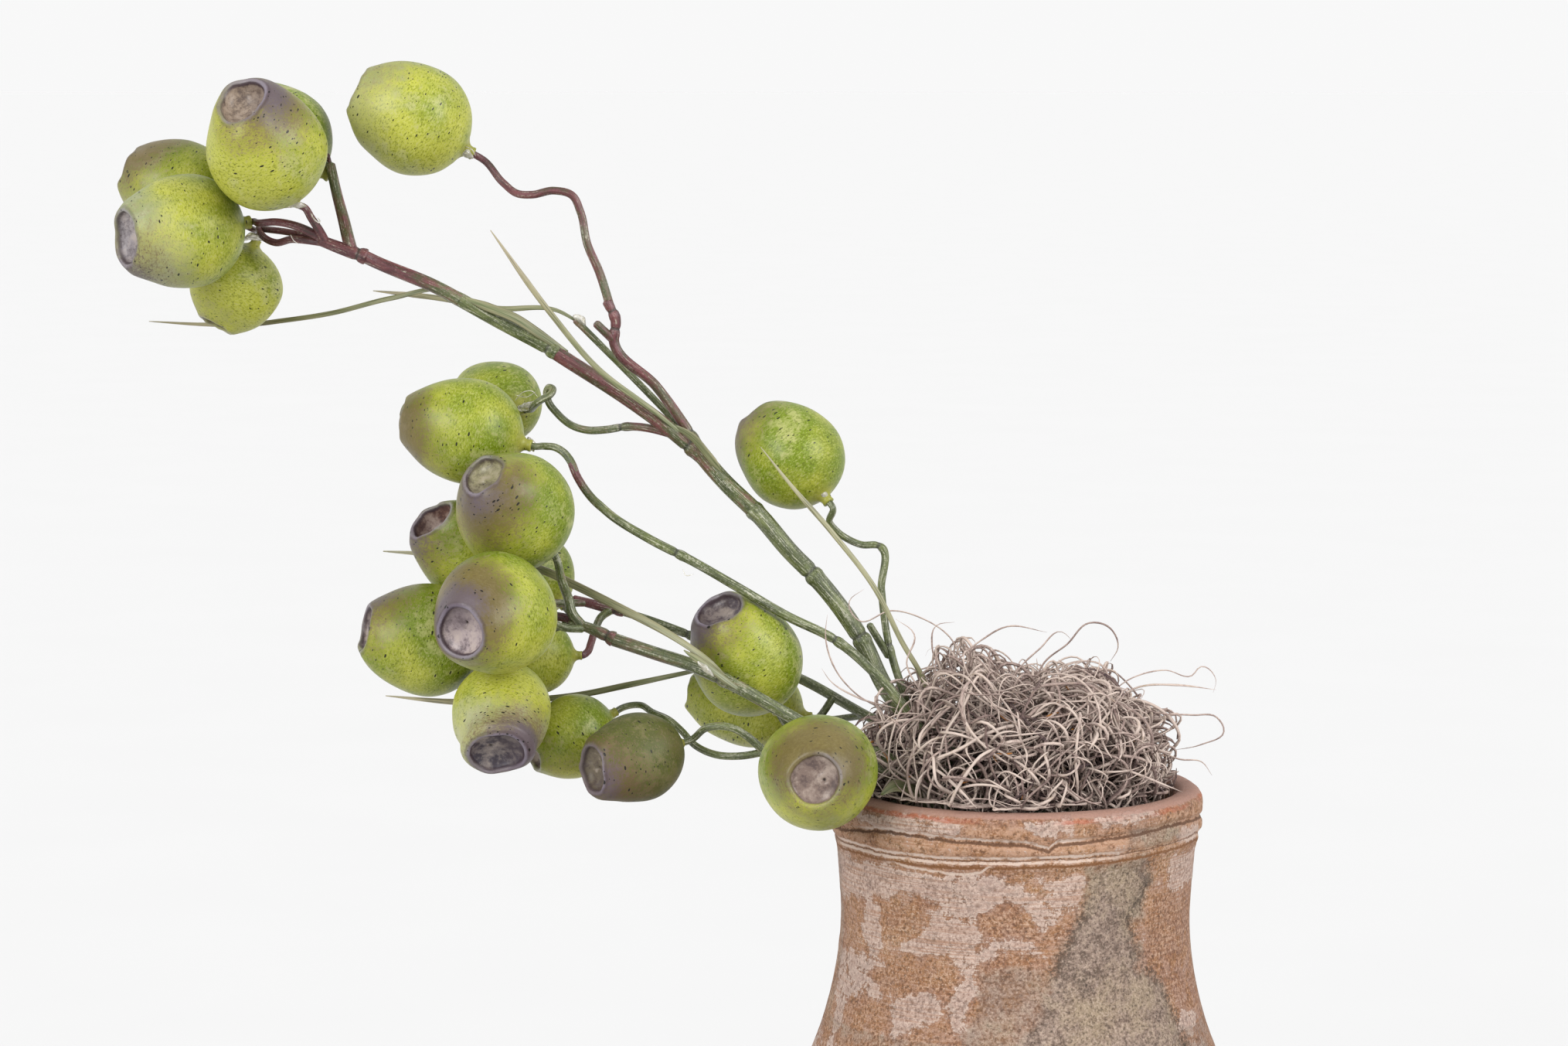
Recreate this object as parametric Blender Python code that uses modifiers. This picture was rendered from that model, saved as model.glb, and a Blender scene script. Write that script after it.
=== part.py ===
"""Eucalyptus gumnut arrangement: artificial seed-pod sprays and a nest of moss in a weathered terracotta jar.

The jar stands on Z = 0 with its axis on Z, and the sprays lean out to -X. Each spray is moulded stems with
needle leaves, pushed into a plug of dry floral foam that is wedged in the jar's neck. A globe-shaped pod is
glued on the end of each wire. Run it in Blender's text editor, or with blender --background --python part.py.
"""

import math
import random

import bmesh
import bpy
from mathutils import Vector

# Driving dimensions, in metres
JAR_HEIGHT = 0.250
MOUTH_RADIUS = 0.042
RIM_RADIUS = 0.0507
NECK_RADIUS = 0.0476
BELLY_RADIUS = 0.0825
FOOT_RADIUS = 0.050
NECK_WALL = 0.0065
FLOOR_THICKNESS = 0.009
FOAM_TOP = -0.008
FOAM_BOTTOM = -0.070
CALYX_LENGTH = 0.003
CALYX_RADIUS = 0.0017
CALYX_FOOT_RADIUS = 0.0022
WIRE_STRAIGHT = 0.0030
GAP = 0.0003

JAR_SIDES = 32
POD_SIDES = 12
STEM_SIDES = 6
LEAF_SIDES = 4
MOSS_SIDES = 22
MOSS_RINGS = 7

MOSS_SEED = 11
MOSS_RADIUS = 0.0325
MOSS_FOOT = 0.0360
MOSS_TOP = 0.0165
MOSS_STRAND = 0.0006
STRAND_SPANS = 5
STRAND_SUNK = 0.005
MOSS_LOOPS = 78
MOSS_FLYAWAYS = 18
MOSS_SIDE_SHARE = 0.72
RIM_CLEARANCE = 0.0022

# Colours are linear
TERRACOTTA = (0.49, 0.27, 0.14)
FOAM_GREEN = (0.10, 0.16, 0.07)
MOSS_GREY = (0.33, 0.27, 0.22)
STEM_GREEN = (0.11, 0.16, 0.06)
POD_GREEN = (0.38, 0.45, 0.05)
POD_OLIVE = (0.21, 0.26, 0.04)

# Each pod: middle of its body from the middle of the mouth, the way its mouth faces, diameter and length
PODS = (
    ((-0.2008, -0.016, 0.1731), (-0.33, -0.58, 0.75), 0.0315, 0.033),
    ((-0.2022, 0.016, 0.1750), (-0.82, 0.20, 0.53), 0.0300, 0.032),
    ((-0.1643, 0.012, 0.1809), (-0.85, -0.12, 0.51), 0.0305, 0.033),
    ((-0.2295, 0.026, 0.1604), (-0.89, -0.01, 0.46), 0.0285, 0.031),
    ((-0.2245, -0.004, 0.1507), (-0.87, -0.49, -0.11), 0.0310, 0.033),
    ((-0.2138, 0.0205, 0.1346), (-0.42, -0.10, -0.90), 0.0250, 0.024),
    ((-0.1432, 0.033, 0.1019), (-0.54, 0.84, 0.05), 0.0235, 0.028),
    ((-0.1504, 0.004, 0.0964), (-0.99, -0.06, 0.12), 0.0285, 0.033),
    ((-0.1356, -0.016, 0.0767), (-0.49, -0.59, 0.64), 0.0315, 0.033),
    ((-0.1487, 0.008, 0.0628), (-0.65, -0.43, 0.62), 0.0280, 0.032),
    ((-0.1346, 0.038, 0.0537), (-0.64, 0.53, 0.55), 0.0235, 0.027),
    ((-0.1396, -0.036, 0.0512), (-0.49, -0.86, -0.14), 0.0320, 0.033),
    ((-0.1606, -0.007, 0.0408), (-0.93, -0.24, 0.27), 0.0305, 0.033),
    ((-0.1388, -0.0215, 0.0222), (-0.05, -0.80, -0.60), 0.0262, 0.031),
    ((-0.1333, 0.010, 0.0339), (-1.00, 0.04, -0.01), 0.0215, 0.025),
    ((-0.1209, -0.002, 0.0131), (-0.80, -0.42, -0.42), 0.0225, 0.025),
    ((-0.1030, -0.028, 0.0117), (-0.75, -0.65, -0.14), 0.0235, 0.028),
    ((-0.0737, 0.002, 0.0346), (-0.46, -0.32, 0.83), 0.0300, 0.033),
    ((-0.0739, 0.030, 0.0181), (-1.00, 0.09, -0.01), 0.0245, 0.032),
    ((-0.0542, -0.042, 0.0100), (-0.01, -1.00, 0.06), 0.0310, 0.032),
    ((-0.0612, 0.014, 0.0888), (-0.58, 0.42, 0.70), 0.0283, 0.030),
)
OLIVE_POD = 17

# A pod's turned outline, from the middle of its mouth: share of its radius, share of its length from the stem
POD_OUTLINE = (
    (0.0, 0.925),
    (0.36, 0.955),
    (0.46, 1.0),
    (0.53, 0.965),
    (0.69, 0.82),
    (0.91, 0.63),
    (1.0, 0.43),
    (0.91, 0.22),
    (0.60, 0.06),
)


def clear_scene():
    for obj in list(bpy.data.objects):
        bpy.data.objects.remove(obj, do_unlink=True)


def new_collection(name):
    collection = bpy.data.collections.new(name)
    bpy.context.scene.collection.children.link(collection)
    return collection


def new_material(name, colour, roughness):
    material = bpy.data.materials.new(name)
    material.use_nodes = True
    shader = material.node_tree.nodes["Principled BSDF"]
    shader.inputs["Base Color"].default_value = (*colour, 1)
    shader.inputs["Roughness"].default_value = roughness
    shader.inputs["Metallic"].default_value = 0
    return material


def above_mouth(points):
    """Points given from the middle of the jar's mouth, as world points."""
    return [Vector((x, y, z + JAR_HEIGHT)) for x, y, z in points]


def new_object(name, mesh, material, collection):
    mesh.materials.clear()
    mesh.materials.append(material)
    obj = bpy.data.objects.new(name, mesh)
    collection.objects.link(obj)
    return obj


def turned(name, outline, sides, material, collection):
    """A solid turned about Z. Its outline starts on the axis at the top and runs down the outside."""
    mesh = bpy.data.meshes.new(name)
    edges = [(i, i + 1) for i in range(len(outline) - 1)]
    mesh.from_pydata([(radius, 0, height) for radius, height in outline], edges, [])
    obj = new_object(name, mesh, material, collection)
    screw = obj.modifiers.new("Turn", "SCREW")
    screw.axis = "Z"
    screw.steps = sides
    screw.render_steps = sides
    screw.use_merge_vertices = True
    screw.merge_threshold = 0.00001
    return obj


def mesh_of_curve(curve_object):
    """The curve's mesh with its end caps welded on. The curve is removed."""
    bpy.context.view_layer.update()
    graph = bpy.context.evaluated_depsgraph_get()
    mesh = bpy.data.meshes.new_from_object(curve_object.evaluated_get(graph))
    shape = bmesh.new()
    shape.from_mesh(mesh)
    bmesh.ops.remove_doubles(shape, verts=shape.verts, dist=0.000001)
    bmesh.ops.recalc_face_normals(shape, faces=shape.faces)
    shape.to_mesh(mesh)
    shape.free()
    curve = curve_object.data
    bpy.data.objects.remove(curve_object, do_unlink=True)
    bpy.data.curves.remove(curve)
    return mesh


def tube(name, points, radii, sides, material, collection):
    """A solid wire through the points, with a radius at each of them."""
    curve = bpy.data.curves.new(name, "CURVE")
    curve.dimensions = "3D"
    curve.bevel_depth = max(radii)
    curve.bevel_resolution = sides // 2 - 2
    curve.use_fill_caps = True
    spline = curve.splines.new("POLY")
    spline.points.add(len(points) - 1)
    for spot, point, radius in zip(spline.points, points, radii):
        spot.co = (*point, 1)
        spot.radius = radius / max(radii)
    guide = bpy.data.objects.new(name + "_route", curve)
    collection.objects.link(guide)
    return new_object(name, mesh_of_curve(guide), material, collection)


def evenly(first, last, count):
    """Radii that run evenly from the first to the last."""
    return [first + (last - first) * i / (count - 1) for i in range(count)]


def leaf_radii(widest, count):
    """A needle leaf's radii: narrower at its foot, widest along its middle, and fine at its tip."""
    turns = [math.pi * (0.25 + 0.72 * i / (count - 1)) for i in range(count)]
    return [widest * (0.45 + 0.55 * math.sin(turn)) for turn in turns]


def fused(name, pieces, material, collection):
    """One body from pieces that overlap. Only the largest body is kept, and the pieces are removed."""
    rest = new_collection(name + "_pieces")
    first = pieces[0]
    for piece in pieces[1:]:
        collection.objects.unlink(piece)
        rest.objects.link(piece)
    join = first.modifiers.new("Join", "BOOLEAN")
    join.operation = "UNION"
    join.operand_type = "COLLECTION"
    join.collection = rest
    join.solver = "EXACT"
    bpy.context.view_layer.update()
    graph = bpy.context.evaluated_depsgraph_get()
    mesh = bpy.data.meshes.new_from_object(first.evaluated_get(graph))
    for piece in pieces:
        bpy.data.objects.remove(piece, do_unlink=True)
    bpy.data.collections.remove(rest)
    keep_largest_body(mesh)
    return new_object(name, mesh, material, collection)


def keep_largest_body(mesh):
    """Loose scraps that a cut or a join leaves are dropped."""
    shape = bmesh.new()
    shape.from_mesh(mesh)
    bmesh.ops.triangulate(shape, faces=shape.faces)
    unseen = set(shape.verts)
    bodies = []
    while unseen:
        body = [unseen.pop()]
        for vert in body:
            for edge in vert.link_edges:
                other = edge.other_vert(vert)
                if other in unseen:
                    unseen.remove(other)
                    body.append(other)
        bodies.append(body)
    bodies.sort(key=len)
    for body in bodies[:-1]:
        bmesh.ops.delete(shape, geom=body, context="VERTS")
    shape.to_mesh(mesh)
    shape.free()


def wire_end(number):
    """A wire's last two points, from the middle of the mouth. They run in line with the pod to its calyx."""
    middle, facing, _, length = PODS[number - 1]
    reach = length / 2 + CALYX_LENGTH + GAP
    away = Vector(facing).normalized()
    end = Vector(middle) - away * reach
    return tuple(end - away * WIRE_STRAIGHT), tuple(end)


def build_pods(green, olive, collection):
    """A moulded globe with a cupped, lipped mouth and a short calyx that the wire is glued to."""
    for number, (middle, facing, diameter, length) in enumerate(PODS, 1):
        outline = [(share * diameter / 2, (along - 0.5) * length) for share, along in POD_OUTLINE]
        outline += [
            (CALYX_FOOT_RADIUS, -length / 2),
            (CALYX_RADIUS, -length / 2 - CALYX_LENGTH),
            (0, -length / 2 - CALYX_LENGTH),
        ]
        material = olive if number == OLIVE_POD else green
        pod = turned(f"pod_{number:02d}", outline, POD_SIDES, material, collection)
        pod.location = above_mouth([middle])[0]
        pod.rotation_mode = "QUATERNION"
        pod.rotation_quaternion = Vector(facing).to_track_quat("Z", "Y")


def build_jar(material, collection):
    """The turned jar: a rolled rim with a groove and a bead below it, a narrow neck, and a full belly."""
    outside = (
        (RIM_RADIUS - 0.0042, 0),
        (RIM_RADIUS - 0.0013, -0.0007),
        (RIM_RADIUS, -0.0026),
        (RIM_RADIUS, -0.006),
        (RIM_RADIUS - 0.0009, -0.0085),
        (RIM_RADIUS + 0.0002, -0.012),
        (RIM_RADIUS - 0.0006, -0.0148),
        (RIM_RADIUS - 0.0020, -0.0175),
        (NECK_RADIUS + 0.0004, -0.026),
        (NECK_RADIUS, -0.036),
        (NECK_RADIUS + 0.0006, -0.045),
        (NECK_RADIUS + 0.0023, -0.055),
        (NECK_RADIUS + 0.0056, -0.067),
        (0.0605, -0.085),
        (0.0695, -0.103),
        (0.0775, -0.122),
        (BELLY_RADIUS, -0.143),
        (BELLY_RADIUS - 0.0005, -0.165),
        (0.0770, -0.188),
        (0.0680, -0.212),
        (0.0580, -0.234),
        (FOOT_RADIUS + 0.0015, -0.2475),
        (FOOT_RADIUS, -JAR_HEIGHT),
    )
    floor = FLOOR_THICKNESS - JAR_HEIGHT
    inside = (
        (0, floor),
        (0.036, floor),
        (0.0515, floor + 0.014),
        (0.0690, -0.190),
        (0.0755, -0.155),
        (0.0640, -0.106),
        (0.0475, -0.073),
        (NECK_RADIUS - NECK_WALL + 0.0005, -0.050),
        (NECK_RADIUS - NECK_WALL, -0.036),
        (NECK_RADIUS - NECK_WALL, -0.020),
        (MOUTH_RADIUS, -0.006),
        (MOUTH_RADIUS + 0.0010, -0.0018),
        (MOUTH_RADIUS + 0.0025, -0.0003),
    )
    outline = [(radius, depth + JAR_HEIGHT) for radius, depth in inside + outside]
    outline.append((0, 0))
    turned("jar", outline, JAR_SIDES, material, collection)


def build_foam(material, collection, sleeves):
    """The foam plug: it follows the neck's wall, a gap inside it, with a plain hole for each stem."""
    radius = NECK_RADIUS - NECK_WALL - GAP
    outline = (
        (0, FOAM_TOP),
        (radius - 0.002, FOAM_TOP),
        (radius, FOAM_TOP - 0.003),
        (radius, -0.046),
        (radius - 0.003, FOAM_BOTTOM),
        (0, FOAM_BOTTOM),
    )
    outline = [(r, z + JAR_HEIGHT) for r, z in outline]
    foam = turned("foam_plug", outline, JAR_SIDES, material, collection)
    holes = foam.modifiers.new("Stem holes", "BOOLEAN")
    holes.operation = "DIFFERENCE"
    holes.operand_type = "COLLECTION"
    holes.collection = sleeves


def add_sleeve(name, points, radius, sleeves, material):
    """A cutter round the stretch of a stem or leaf that goes through the moss and into the foam."""
    sleeve = tube(name, points, [radius + GAP] * len(points), STEM_SIDES, material, sleeves)
    sleeve.hide_render = True
    sleeve.display_type = "WIRE"


def build_spray(name, wires, leaves, buried, material, collection, sleeves):
    """One moulded spray. A wire is (points, first radius, last radius), a leaf is (points, widest radius).

    buried lists (points, radius) of each stretch that goes through the moss and into the foam.
    """
    pieces = []
    for number, (points, first, last) in enumerate(wires):
        radii = evenly(first, last, len(points))
        wire = tube(f"{name}_wire_{number}", above_mouth(points), radii, STEM_SIDES, material, collection)
        pieces.append(wire)
    for number, (points, widest) in enumerate(leaves):
        radii = leaf_radii(widest, len(points))
        leaf = tube(f"{name}_leaf_{number}", above_mouth(points), radii, LEAF_SIDES, material, collection)
        pieces.append(leaf)
    for number, (points, radius) in enumerate(buried):
        add_sleeve(f"{name}_sleeve_{number}", above_mouth(points), radius, sleeves, material)
    return fused(name, pieces, material, collection)


def build_tall_spray(material, collection, sleeves):
    """The long top spray: a trunk that forks to a branch of five pods, a bent wire, and a curled wire."""
    trunk = (
        (0.0080, 0.0030, -0.0460),
        (0.0030, 0.0030, -0.0220),
        (-0.0095, 0.0030, -0.0005),
        (-0.0355, 0.0030, 0.0260),
        (-0.0420, 0.0040, 0.0390),
        (-0.0550, 0.0050, 0.0560),
        (-0.0710, 0.0060, 0.0745),
        (-0.0810, 0.0070, 0.0835),
        (-0.0885, 0.0070, 0.0930),
    )
    branch = (
        (-0.0860, 0.0070, 0.0900),
        (-0.0950, 0.0060, 0.0965),
        (-0.1265, 0.0040, 0.1185),
        (-0.1500, 0.0020, 0.1325),
        (-0.1765, 0.0000, 0.1445),
        (-0.1875, 0.0000, 0.1495),
    )
    bent_branch = (
        (-0.0850, 0.0070, 0.0895),
        (-0.0980, 0.0090, 0.1080),
        (-0.1095, 0.0100, 0.1205),
        (-0.1090, 0.0100, 0.1260),
        (-0.1115, 0.0100, 0.1315),
    )
    bent_wire = (
        (-0.1105, 0.0100, 0.1295),
        (-0.1165, 0.0110, 0.1480),
        (-0.1195, 0.0120, 0.1575),
        (-0.1225, 0.0120, 0.1605),
        (-0.1335, 0.0120, 0.1600),
        (-0.1390, 0.0130, 0.1640),
        *wire_end(3),
    )
    stub = ((-0.1090, 0.0100, 0.1200), (-0.1145, 0.0080, 0.1255))
    curled_wire = (
        (-0.0890, 0.0070, 0.0930),
        (-0.0950, 0.0065, 0.0955),
        (-0.1055, 0.0080, 0.0968),
        (-0.1195, 0.0100, 0.0965),
        (-0.1265, 0.0110, 0.1030),
        (-0.1290, 0.0100, 0.1060),
        *wire_end(7),
    )
    leaf_stalk = (
        (-0.0865, 0.0075, 0.0915),
        (-0.0975, 0.0120, 0.1030),
        (-0.1205, 0.0160, 0.1260),
    )
    twigs = (
        ((-0.1860, 0.0000, 0.1488), (-0.1900, -0.0020, 0.1530), *wire_end(1)),
        ((-0.1780, 0.0000, 0.1450), (-0.1805, 0.0030, 0.1510), *wire_end(2)),
        ((-0.1860, 0.0000, 0.1488), (-0.1960, 0.0090, 0.1535), (-0.2050, 0.0200, 0.1545), *wire_end(4)),
        ((-0.1860, 0.0000, 0.1488), (-0.1910, -0.0010, 0.1515), (-0.1985, 0.0020, 0.1534), *wire_end(5)),
        ((-0.1840, 0.0000, 0.1480), (-0.1950, 0.0040, 0.1485), (-0.2020, 0.0130, 0.1490), *wire_end(6)),
    )
    wires = [
        (trunk, 0.0019, 0.0018),
        (branch, 0.0015, 0.0013),
        (bent_branch, 0.0014, 0.0012),
        (bent_wire, 0.0010, 0.0009),
        (stub, 0.0012, 0.0010),
        (curled_wire, 0.0010, 0.0009),
        (leaf_stalk, 0.0009, 0.0008),
    ]
    wires += [(twig, 0.0011, 0.0009) for twig in twigs]
    upright_leaf = (
        (-0.0870, 0.0065, 0.0920),
        (-0.0975, 0.0030, 0.1010),
        (-0.1135, 0.0000, 0.1135),
        (-0.1260, -0.0020, 0.1285),
        (-0.1420, -0.0040, 0.1510),
    )
    stalk_leaf = (
        (-0.1200, 0.0160, 0.1255),
        (-0.1245, 0.0160, 0.1280),
        (-0.1415, 0.0140, 0.1290),
        (-0.1580, 0.0120, 0.1320),
        (-0.1750, 0.0100, 0.1340),
    )
    drooping_leaf = (
        (-0.1390, 0.0030, 0.1260),
        (-0.1540, 0.0040, 0.1345),
        (-0.1700, 0.0100, 0.1320),
        (-0.1870, 0.0180, 0.1275),
        (-0.2010, 0.0260, 0.1250),
        (-0.2120, 0.0320, 0.1235),
        (-0.2235, 0.0320, 0.1235),
        (-0.2390, 0.0300, 0.1245),
    )
    leaves = [(upright_leaf, 0.0009), (stalk_leaf, 0.0009), (drooping_leaf, 0.0010)]
    buried = [(trunk[:5], 0.0019)]
    build_spray("spray_tall", wires, leaves, buried, material, collection, sleeves)


def build_middle_spray(material, collection, sleeves):
    """A single long wire with a crook at its end, which holds one pod."""
    stem = (
        (-0.0070, -0.0060, -0.0440),
        (-0.0120, -0.0060, -0.0200),
        (-0.0200, -0.0060, 0.0060),
        (-0.0310, -0.0050, 0.0225),
        (-0.0387, -0.0030, 0.0310),
        (-0.0480, -0.0020, 0.0390),
        (-0.0630, -0.0040, 0.0470),
        (-0.0763, -0.0060, 0.0551),
        (-0.0875, -0.0060, 0.0616),
        (-0.1120, -0.0060, 0.0744),
        (-0.1173, -0.0060, 0.0813),
        (-0.1196, -0.0050, 0.0869),
        (-0.1240, -0.0020, 0.0915),
        *wire_end(8),
    )
    buried = [(stem[:6], 0.0014)]
    build_spray("spray_middle", [(stem, 0.0014, 0.0010)], [], buried, material, collection, sleeves)


def build_short_spray(material, collection, sleeves):
    """An upright wire with a crook that holds one pod, a cut stub, and a long needle leaf."""
    stem = (
        (-0.0190, 0.0070, -0.0440),
        (-0.0200, 0.0070, -0.0200),
        (-0.0240, 0.0070, 0.0050),
        (-0.0303, 0.0080, 0.0234),
        (-0.0347, 0.0100, 0.0382),
        (-0.0365, 0.0110, 0.0520),
        (-0.0372, 0.0120, 0.0640),
        (-0.0419, 0.0120, 0.0640),
        (-0.0455, 0.0110, 0.0657),
        (-0.0485, 0.0090, 0.0685),
        *wire_end(21),
    )
    stub = ((-0.0343, 0.0100, 0.0335), (-0.0400, 0.0080, 0.0430))
    leaf = (
        (-0.0240, 0.0072, 0.0040),
        (-0.0232, 0.0078, 0.0150),
        (-0.0232, 0.0050, 0.0215),
        (-0.0252, 0.0010, 0.0285),
        (-0.0312, -0.0020, 0.0394),
        (-0.0386, -0.0040, 0.0542),
        (-0.0502, -0.0060, 0.0696),
        (-0.0616, -0.0080, 0.0830),
        (-0.0695, -0.0080, 0.0930),
    )
    wires = [(stem, 0.0013, 0.0010), (stub, 0.0010, 0.0009)]
    buried = [(stem[:5], 0.0013), (leaf[:6], 0.0010), (stub, 0.0010)]
    build_spray("spray_short", wires, [(leaf, 0.0010)], buried, material, collection, sleeves)


def build_low_front_spray(material, collection, sleeves):
    """The low spray that passes in front: a stout stem that ends in four twigs, with two long leaves."""
    stem = (
        (-0.0140, -0.0130, -0.0440),
        (-0.0170, -0.0130, -0.0200),
        (-0.0232, -0.0120, 0.0020),
        (-0.0303, -0.0120, 0.0060),
        (-0.0391, -0.0130, 0.0110),
        (-0.0539, -0.0150, 0.0166),
        (-0.0618, -0.0160, 0.0212),
        (-0.0791, -0.0170, 0.0309),
        (-0.0953, -0.0150, 0.0369),
        (-0.1093, -0.0120, 0.0424),
        (-0.1217, -0.0090, 0.0468),
    )
    upper_twig = (
        (-0.1190, -0.0095, 0.0455),
        (-0.1210, -0.0090, 0.0495),
        (-0.1228, -0.0070, 0.0560),
        *wire_end(9),
    )
    front_twig = ((-0.1205, -0.0095, 0.0465), (-0.1260, -0.0125, 0.0510), *wire_end(12))
    far_twig = (
        (-0.1205, -0.0090, 0.0465),
        (-0.1290, -0.0040, 0.0440),
        (-0.1370, -0.0010, 0.0400),
        *wire_end(13),
    )
    lower_twig = (
        (-0.1270, -0.0050, 0.0447),
        (-0.1330, -0.0020, 0.0400),
        *wire_end(14),
    )
    upper_leaf = (
        (-0.0780, -0.0170, 0.0305),
        (-0.0834, -0.0200, 0.0366),
        (-0.0886, -0.0180, 0.0401),
        (-0.1095, -0.0050, 0.0500),
        (-0.1210, 0.0040, 0.0545),
        (-0.1280, 0.0110, 0.0569),
        (-0.1340, 0.0195, 0.0575),
        (-0.1420, 0.0250, 0.0580),
        (-0.1500, 0.0270, 0.0590),
        (-0.1660, 0.0270, 0.0603),
        (-0.1746, 0.0280, 0.0607),
    )
    lower_leaf = (
        (-0.0865, -0.0160, 0.0335),
        (-0.0903, -0.0080, 0.0316),
        (-0.1058, 0.0000, 0.0272),
        (-0.1210, 0.0080, 0.0231),
        (-0.1380, 0.0110, 0.0212),
        (-0.1532, 0.0140, 0.0205),
        (-0.1732, 0.0160, 0.0219),
    )
    wires = [(stem, 0.0017, 0.0014)]
    wires += [(twig, 0.0011, 0.0009) for twig in (upper_twig, front_twig, far_twig, lower_twig)]
    leaves = [(upper_leaf, 0.0010), (lower_leaf, 0.0010)]
    build_spray("spray_low_front", wires, leaves, [(stem[:6], 0.0017)], material, collection, sleeves)


def build_low_back_spray(material, collection, sleeves):
    """The low spray behind: a stem with twigs to five pods and a cut stub at its end."""
    stem = (
        (0.0000, 0.0160, -0.0440),
        (-0.0020, 0.0170, -0.0200),
        (-0.0061, 0.0180, -0.0030),
        (-0.0278, 0.0180, 0.0097),
        (-0.0406, 0.0190, 0.0161),
        (-0.0584, 0.0205, 0.0259),
        (-0.0740, 0.0215, 0.0321),
        (-0.0898, 0.0205, 0.0388),
        (-0.1084, 0.0200, 0.0461),
        (-0.1228, 0.0210, 0.0497),
    )
    twigs = (
        ((-0.1130, 0.0205, 0.0470), (-0.1260, 0.0178, 0.0475), *wire_end(10)),
        ((-0.1150, 0.0205, 0.0478), (-0.1200, 0.0220, 0.0462), *wire_end(11)),
        ((-0.1070, 0.0200, 0.0455), (-0.1095, 0.0160, 0.0410), (-0.1135, 0.0115, 0.0365), *wire_end(15)),
        ((-0.0495, 0.0195, 0.0210), (-0.0540, 0.0160, 0.0155), (-0.0615, 0.0105, 0.0135), *wire_end(18)),
        ((-0.0406, 0.0190, 0.0161), (-0.0455, 0.0245, 0.0165), (-0.0500, 0.0275, 0.0180), *wire_end(19)),
    )
    wires = [(stem, 0.0015, 0.0011)]
    wires += [(twig, 0.0011, 0.0009) for twig in twigs]
    build_spray("spray_low_back", wires, [], [(stem[:6], 0.0015)], material, collection, sleeves)


def build_rim_spray(material, collection, sleeves):
    """The spray that leaves over the rim: a stem with two crooked wires, a short twig and a broad leaf."""
    stem = (
        (-0.0120, -0.0220, -0.0400),
        (-0.0150, -0.0210, -0.0200),
        (-0.0205, -0.0195, -0.0025),
        (-0.0292, -0.0180, 0.0021),
        (-0.0380, -0.0175, 0.0071),
        (-0.0538, -0.0155, 0.0096),
        (-0.0700, -0.0180, 0.0118),
    )
    upper_wire = (
        (-0.0685, -0.0178, 0.0116),
        (-0.0728, -0.0190, 0.0158),
        (-0.0770, -0.0200, 0.0185),
        (-0.0835, -0.0190, 0.0185),
        *wire_end(17),
    )
    lower_wire = (
        (-0.0685, -0.0178, 0.0116),
        (-0.0750, -0.0175, 0.0105),
        (-0.0817, -0.0150, 0.0105),
        (-0.0875, -0.0115, 0.0127),
        (-0.0905, -0.0085, 0.0155),
        (-0.0940, -0.0045, 0.0180),
        (-0.0990, 0.0010, 0.0195),
        (-0.1030, 0.0050, 0.0210),
        *wire_end(16),
    )
    front_twig = ((-0.0538, -0.0155, 0.0096), *wire_end(20))
    leaf = (
        (-0.0190, -0.0203, -0.0080),
        (-0.0240, -0.0235, -0.0020),
        (-0.0285, -0.0270, 0.0025),
        (-0.0335, -0.0310, 0.0045),
        (-0.0375, -0.0345, 0.0028),
    )
    wires = [(stem, 0.0013, 0.0012)]
    wires += [(wire, 0.0010, 0.0009) for wire in (upper_wire, lower_wire, front_twig)]
    buried = [(stem[:6], 0.0013), (leaf, 0.0012)]
    build_spray("spray_rim", wires, [(leaf, 0.0012)], buried, material, collection, sleeves)


def moss_surface(turn, share):
    """A point on the moss's lumpy dome, at an angle and a share of the way from its crown to its edge."""
    lump = 0.0018 * math.sin(3 * turn + 7 * share) + 0.0014 * math.sin(5 * turn - 9 * share + 1)
    radius = MOSS_RADIUS * share + lump * share
    height = MOSS_TOP * math.sqrt(max(0, 1 - 0.95 * share**3)) + lump
    return Vector((radius * math.cos(turn), radius * math.sin(turn), height))


def moss_core(material, collection):
    """The packed middle of the moss, flat on the foam."""
    floor = FOAM_TOP + GAP
    shape = bmesh.new()
    bmesh.ops.create_cone(shape, cap_ends=True, segments=MOSS_SIDES, radius1=1, radius2=1, depth=1)
    crown = max(shape.faces, key=lambda face: face.calc_center_median().z)
    bmesh.ops.poke(shape, faces=[crown])
    spokes = [edge for edge in shape.edges if sum(vert.co.z > 0 for vert in edge.verts) == 2]
    spokes = [edge for edge in spokes if min(vert.co.xy.length for vert in edge.verts) < 0.5]
    bmesh.ops.subdivide_edges(shape, edges=spokes, cuts=MOSS_RINGS - 1, use_grid_fill=True)
    for vert in shape.verts:
        turn = math.atan2(vert.co.y, vert.co.x)
        if vert.co.z < 0:
            vert.co = (MOSS_FOOT * math.cos(turn), MOSS_FOOT * math.sin(turn), floor)
        else:
            vert.co = moss_surface(turn, min(1, vert.co.xy.length))
            vert.co.z = max(vert.co.z, 0.002)
        vert.co.z += JAR_HEIGHT
    mesh = bpy.data.meshes.new("moss_core")
    shape.to_mesh(mesh)
    shape.free()
    return new_object("moss_core", mesh, material, collection)


def clear_of_rim(point):
    """Over the jar's rim, the moss stays above the clay."""
    if point.xy.length > MOUTH_RADIUS - 0.0015:
        point.z = max(point.z, RIM_CLEARANCE)
    return point


def strand_section(collection):
    """A three-cornered section for the moss's strands."""
    curve = bpy.data.curves.new("strand_section", "CURVE")
    spline = curve.splines.new("POLY")
    spline.points.add(2)
    spline.use_cyclic_u = True
    for corner, spot in enumerate(spline.points):
        turn = math.tau * corner / 3
        spot.co = (MOSS_STRAND * math.cos(turn), MOSS_STRAND * math.sin(turn), 0, 1)
    section = bpy.data.objects.new("strand_section", curve)
    collection.objects.link(section)
    return section


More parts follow.
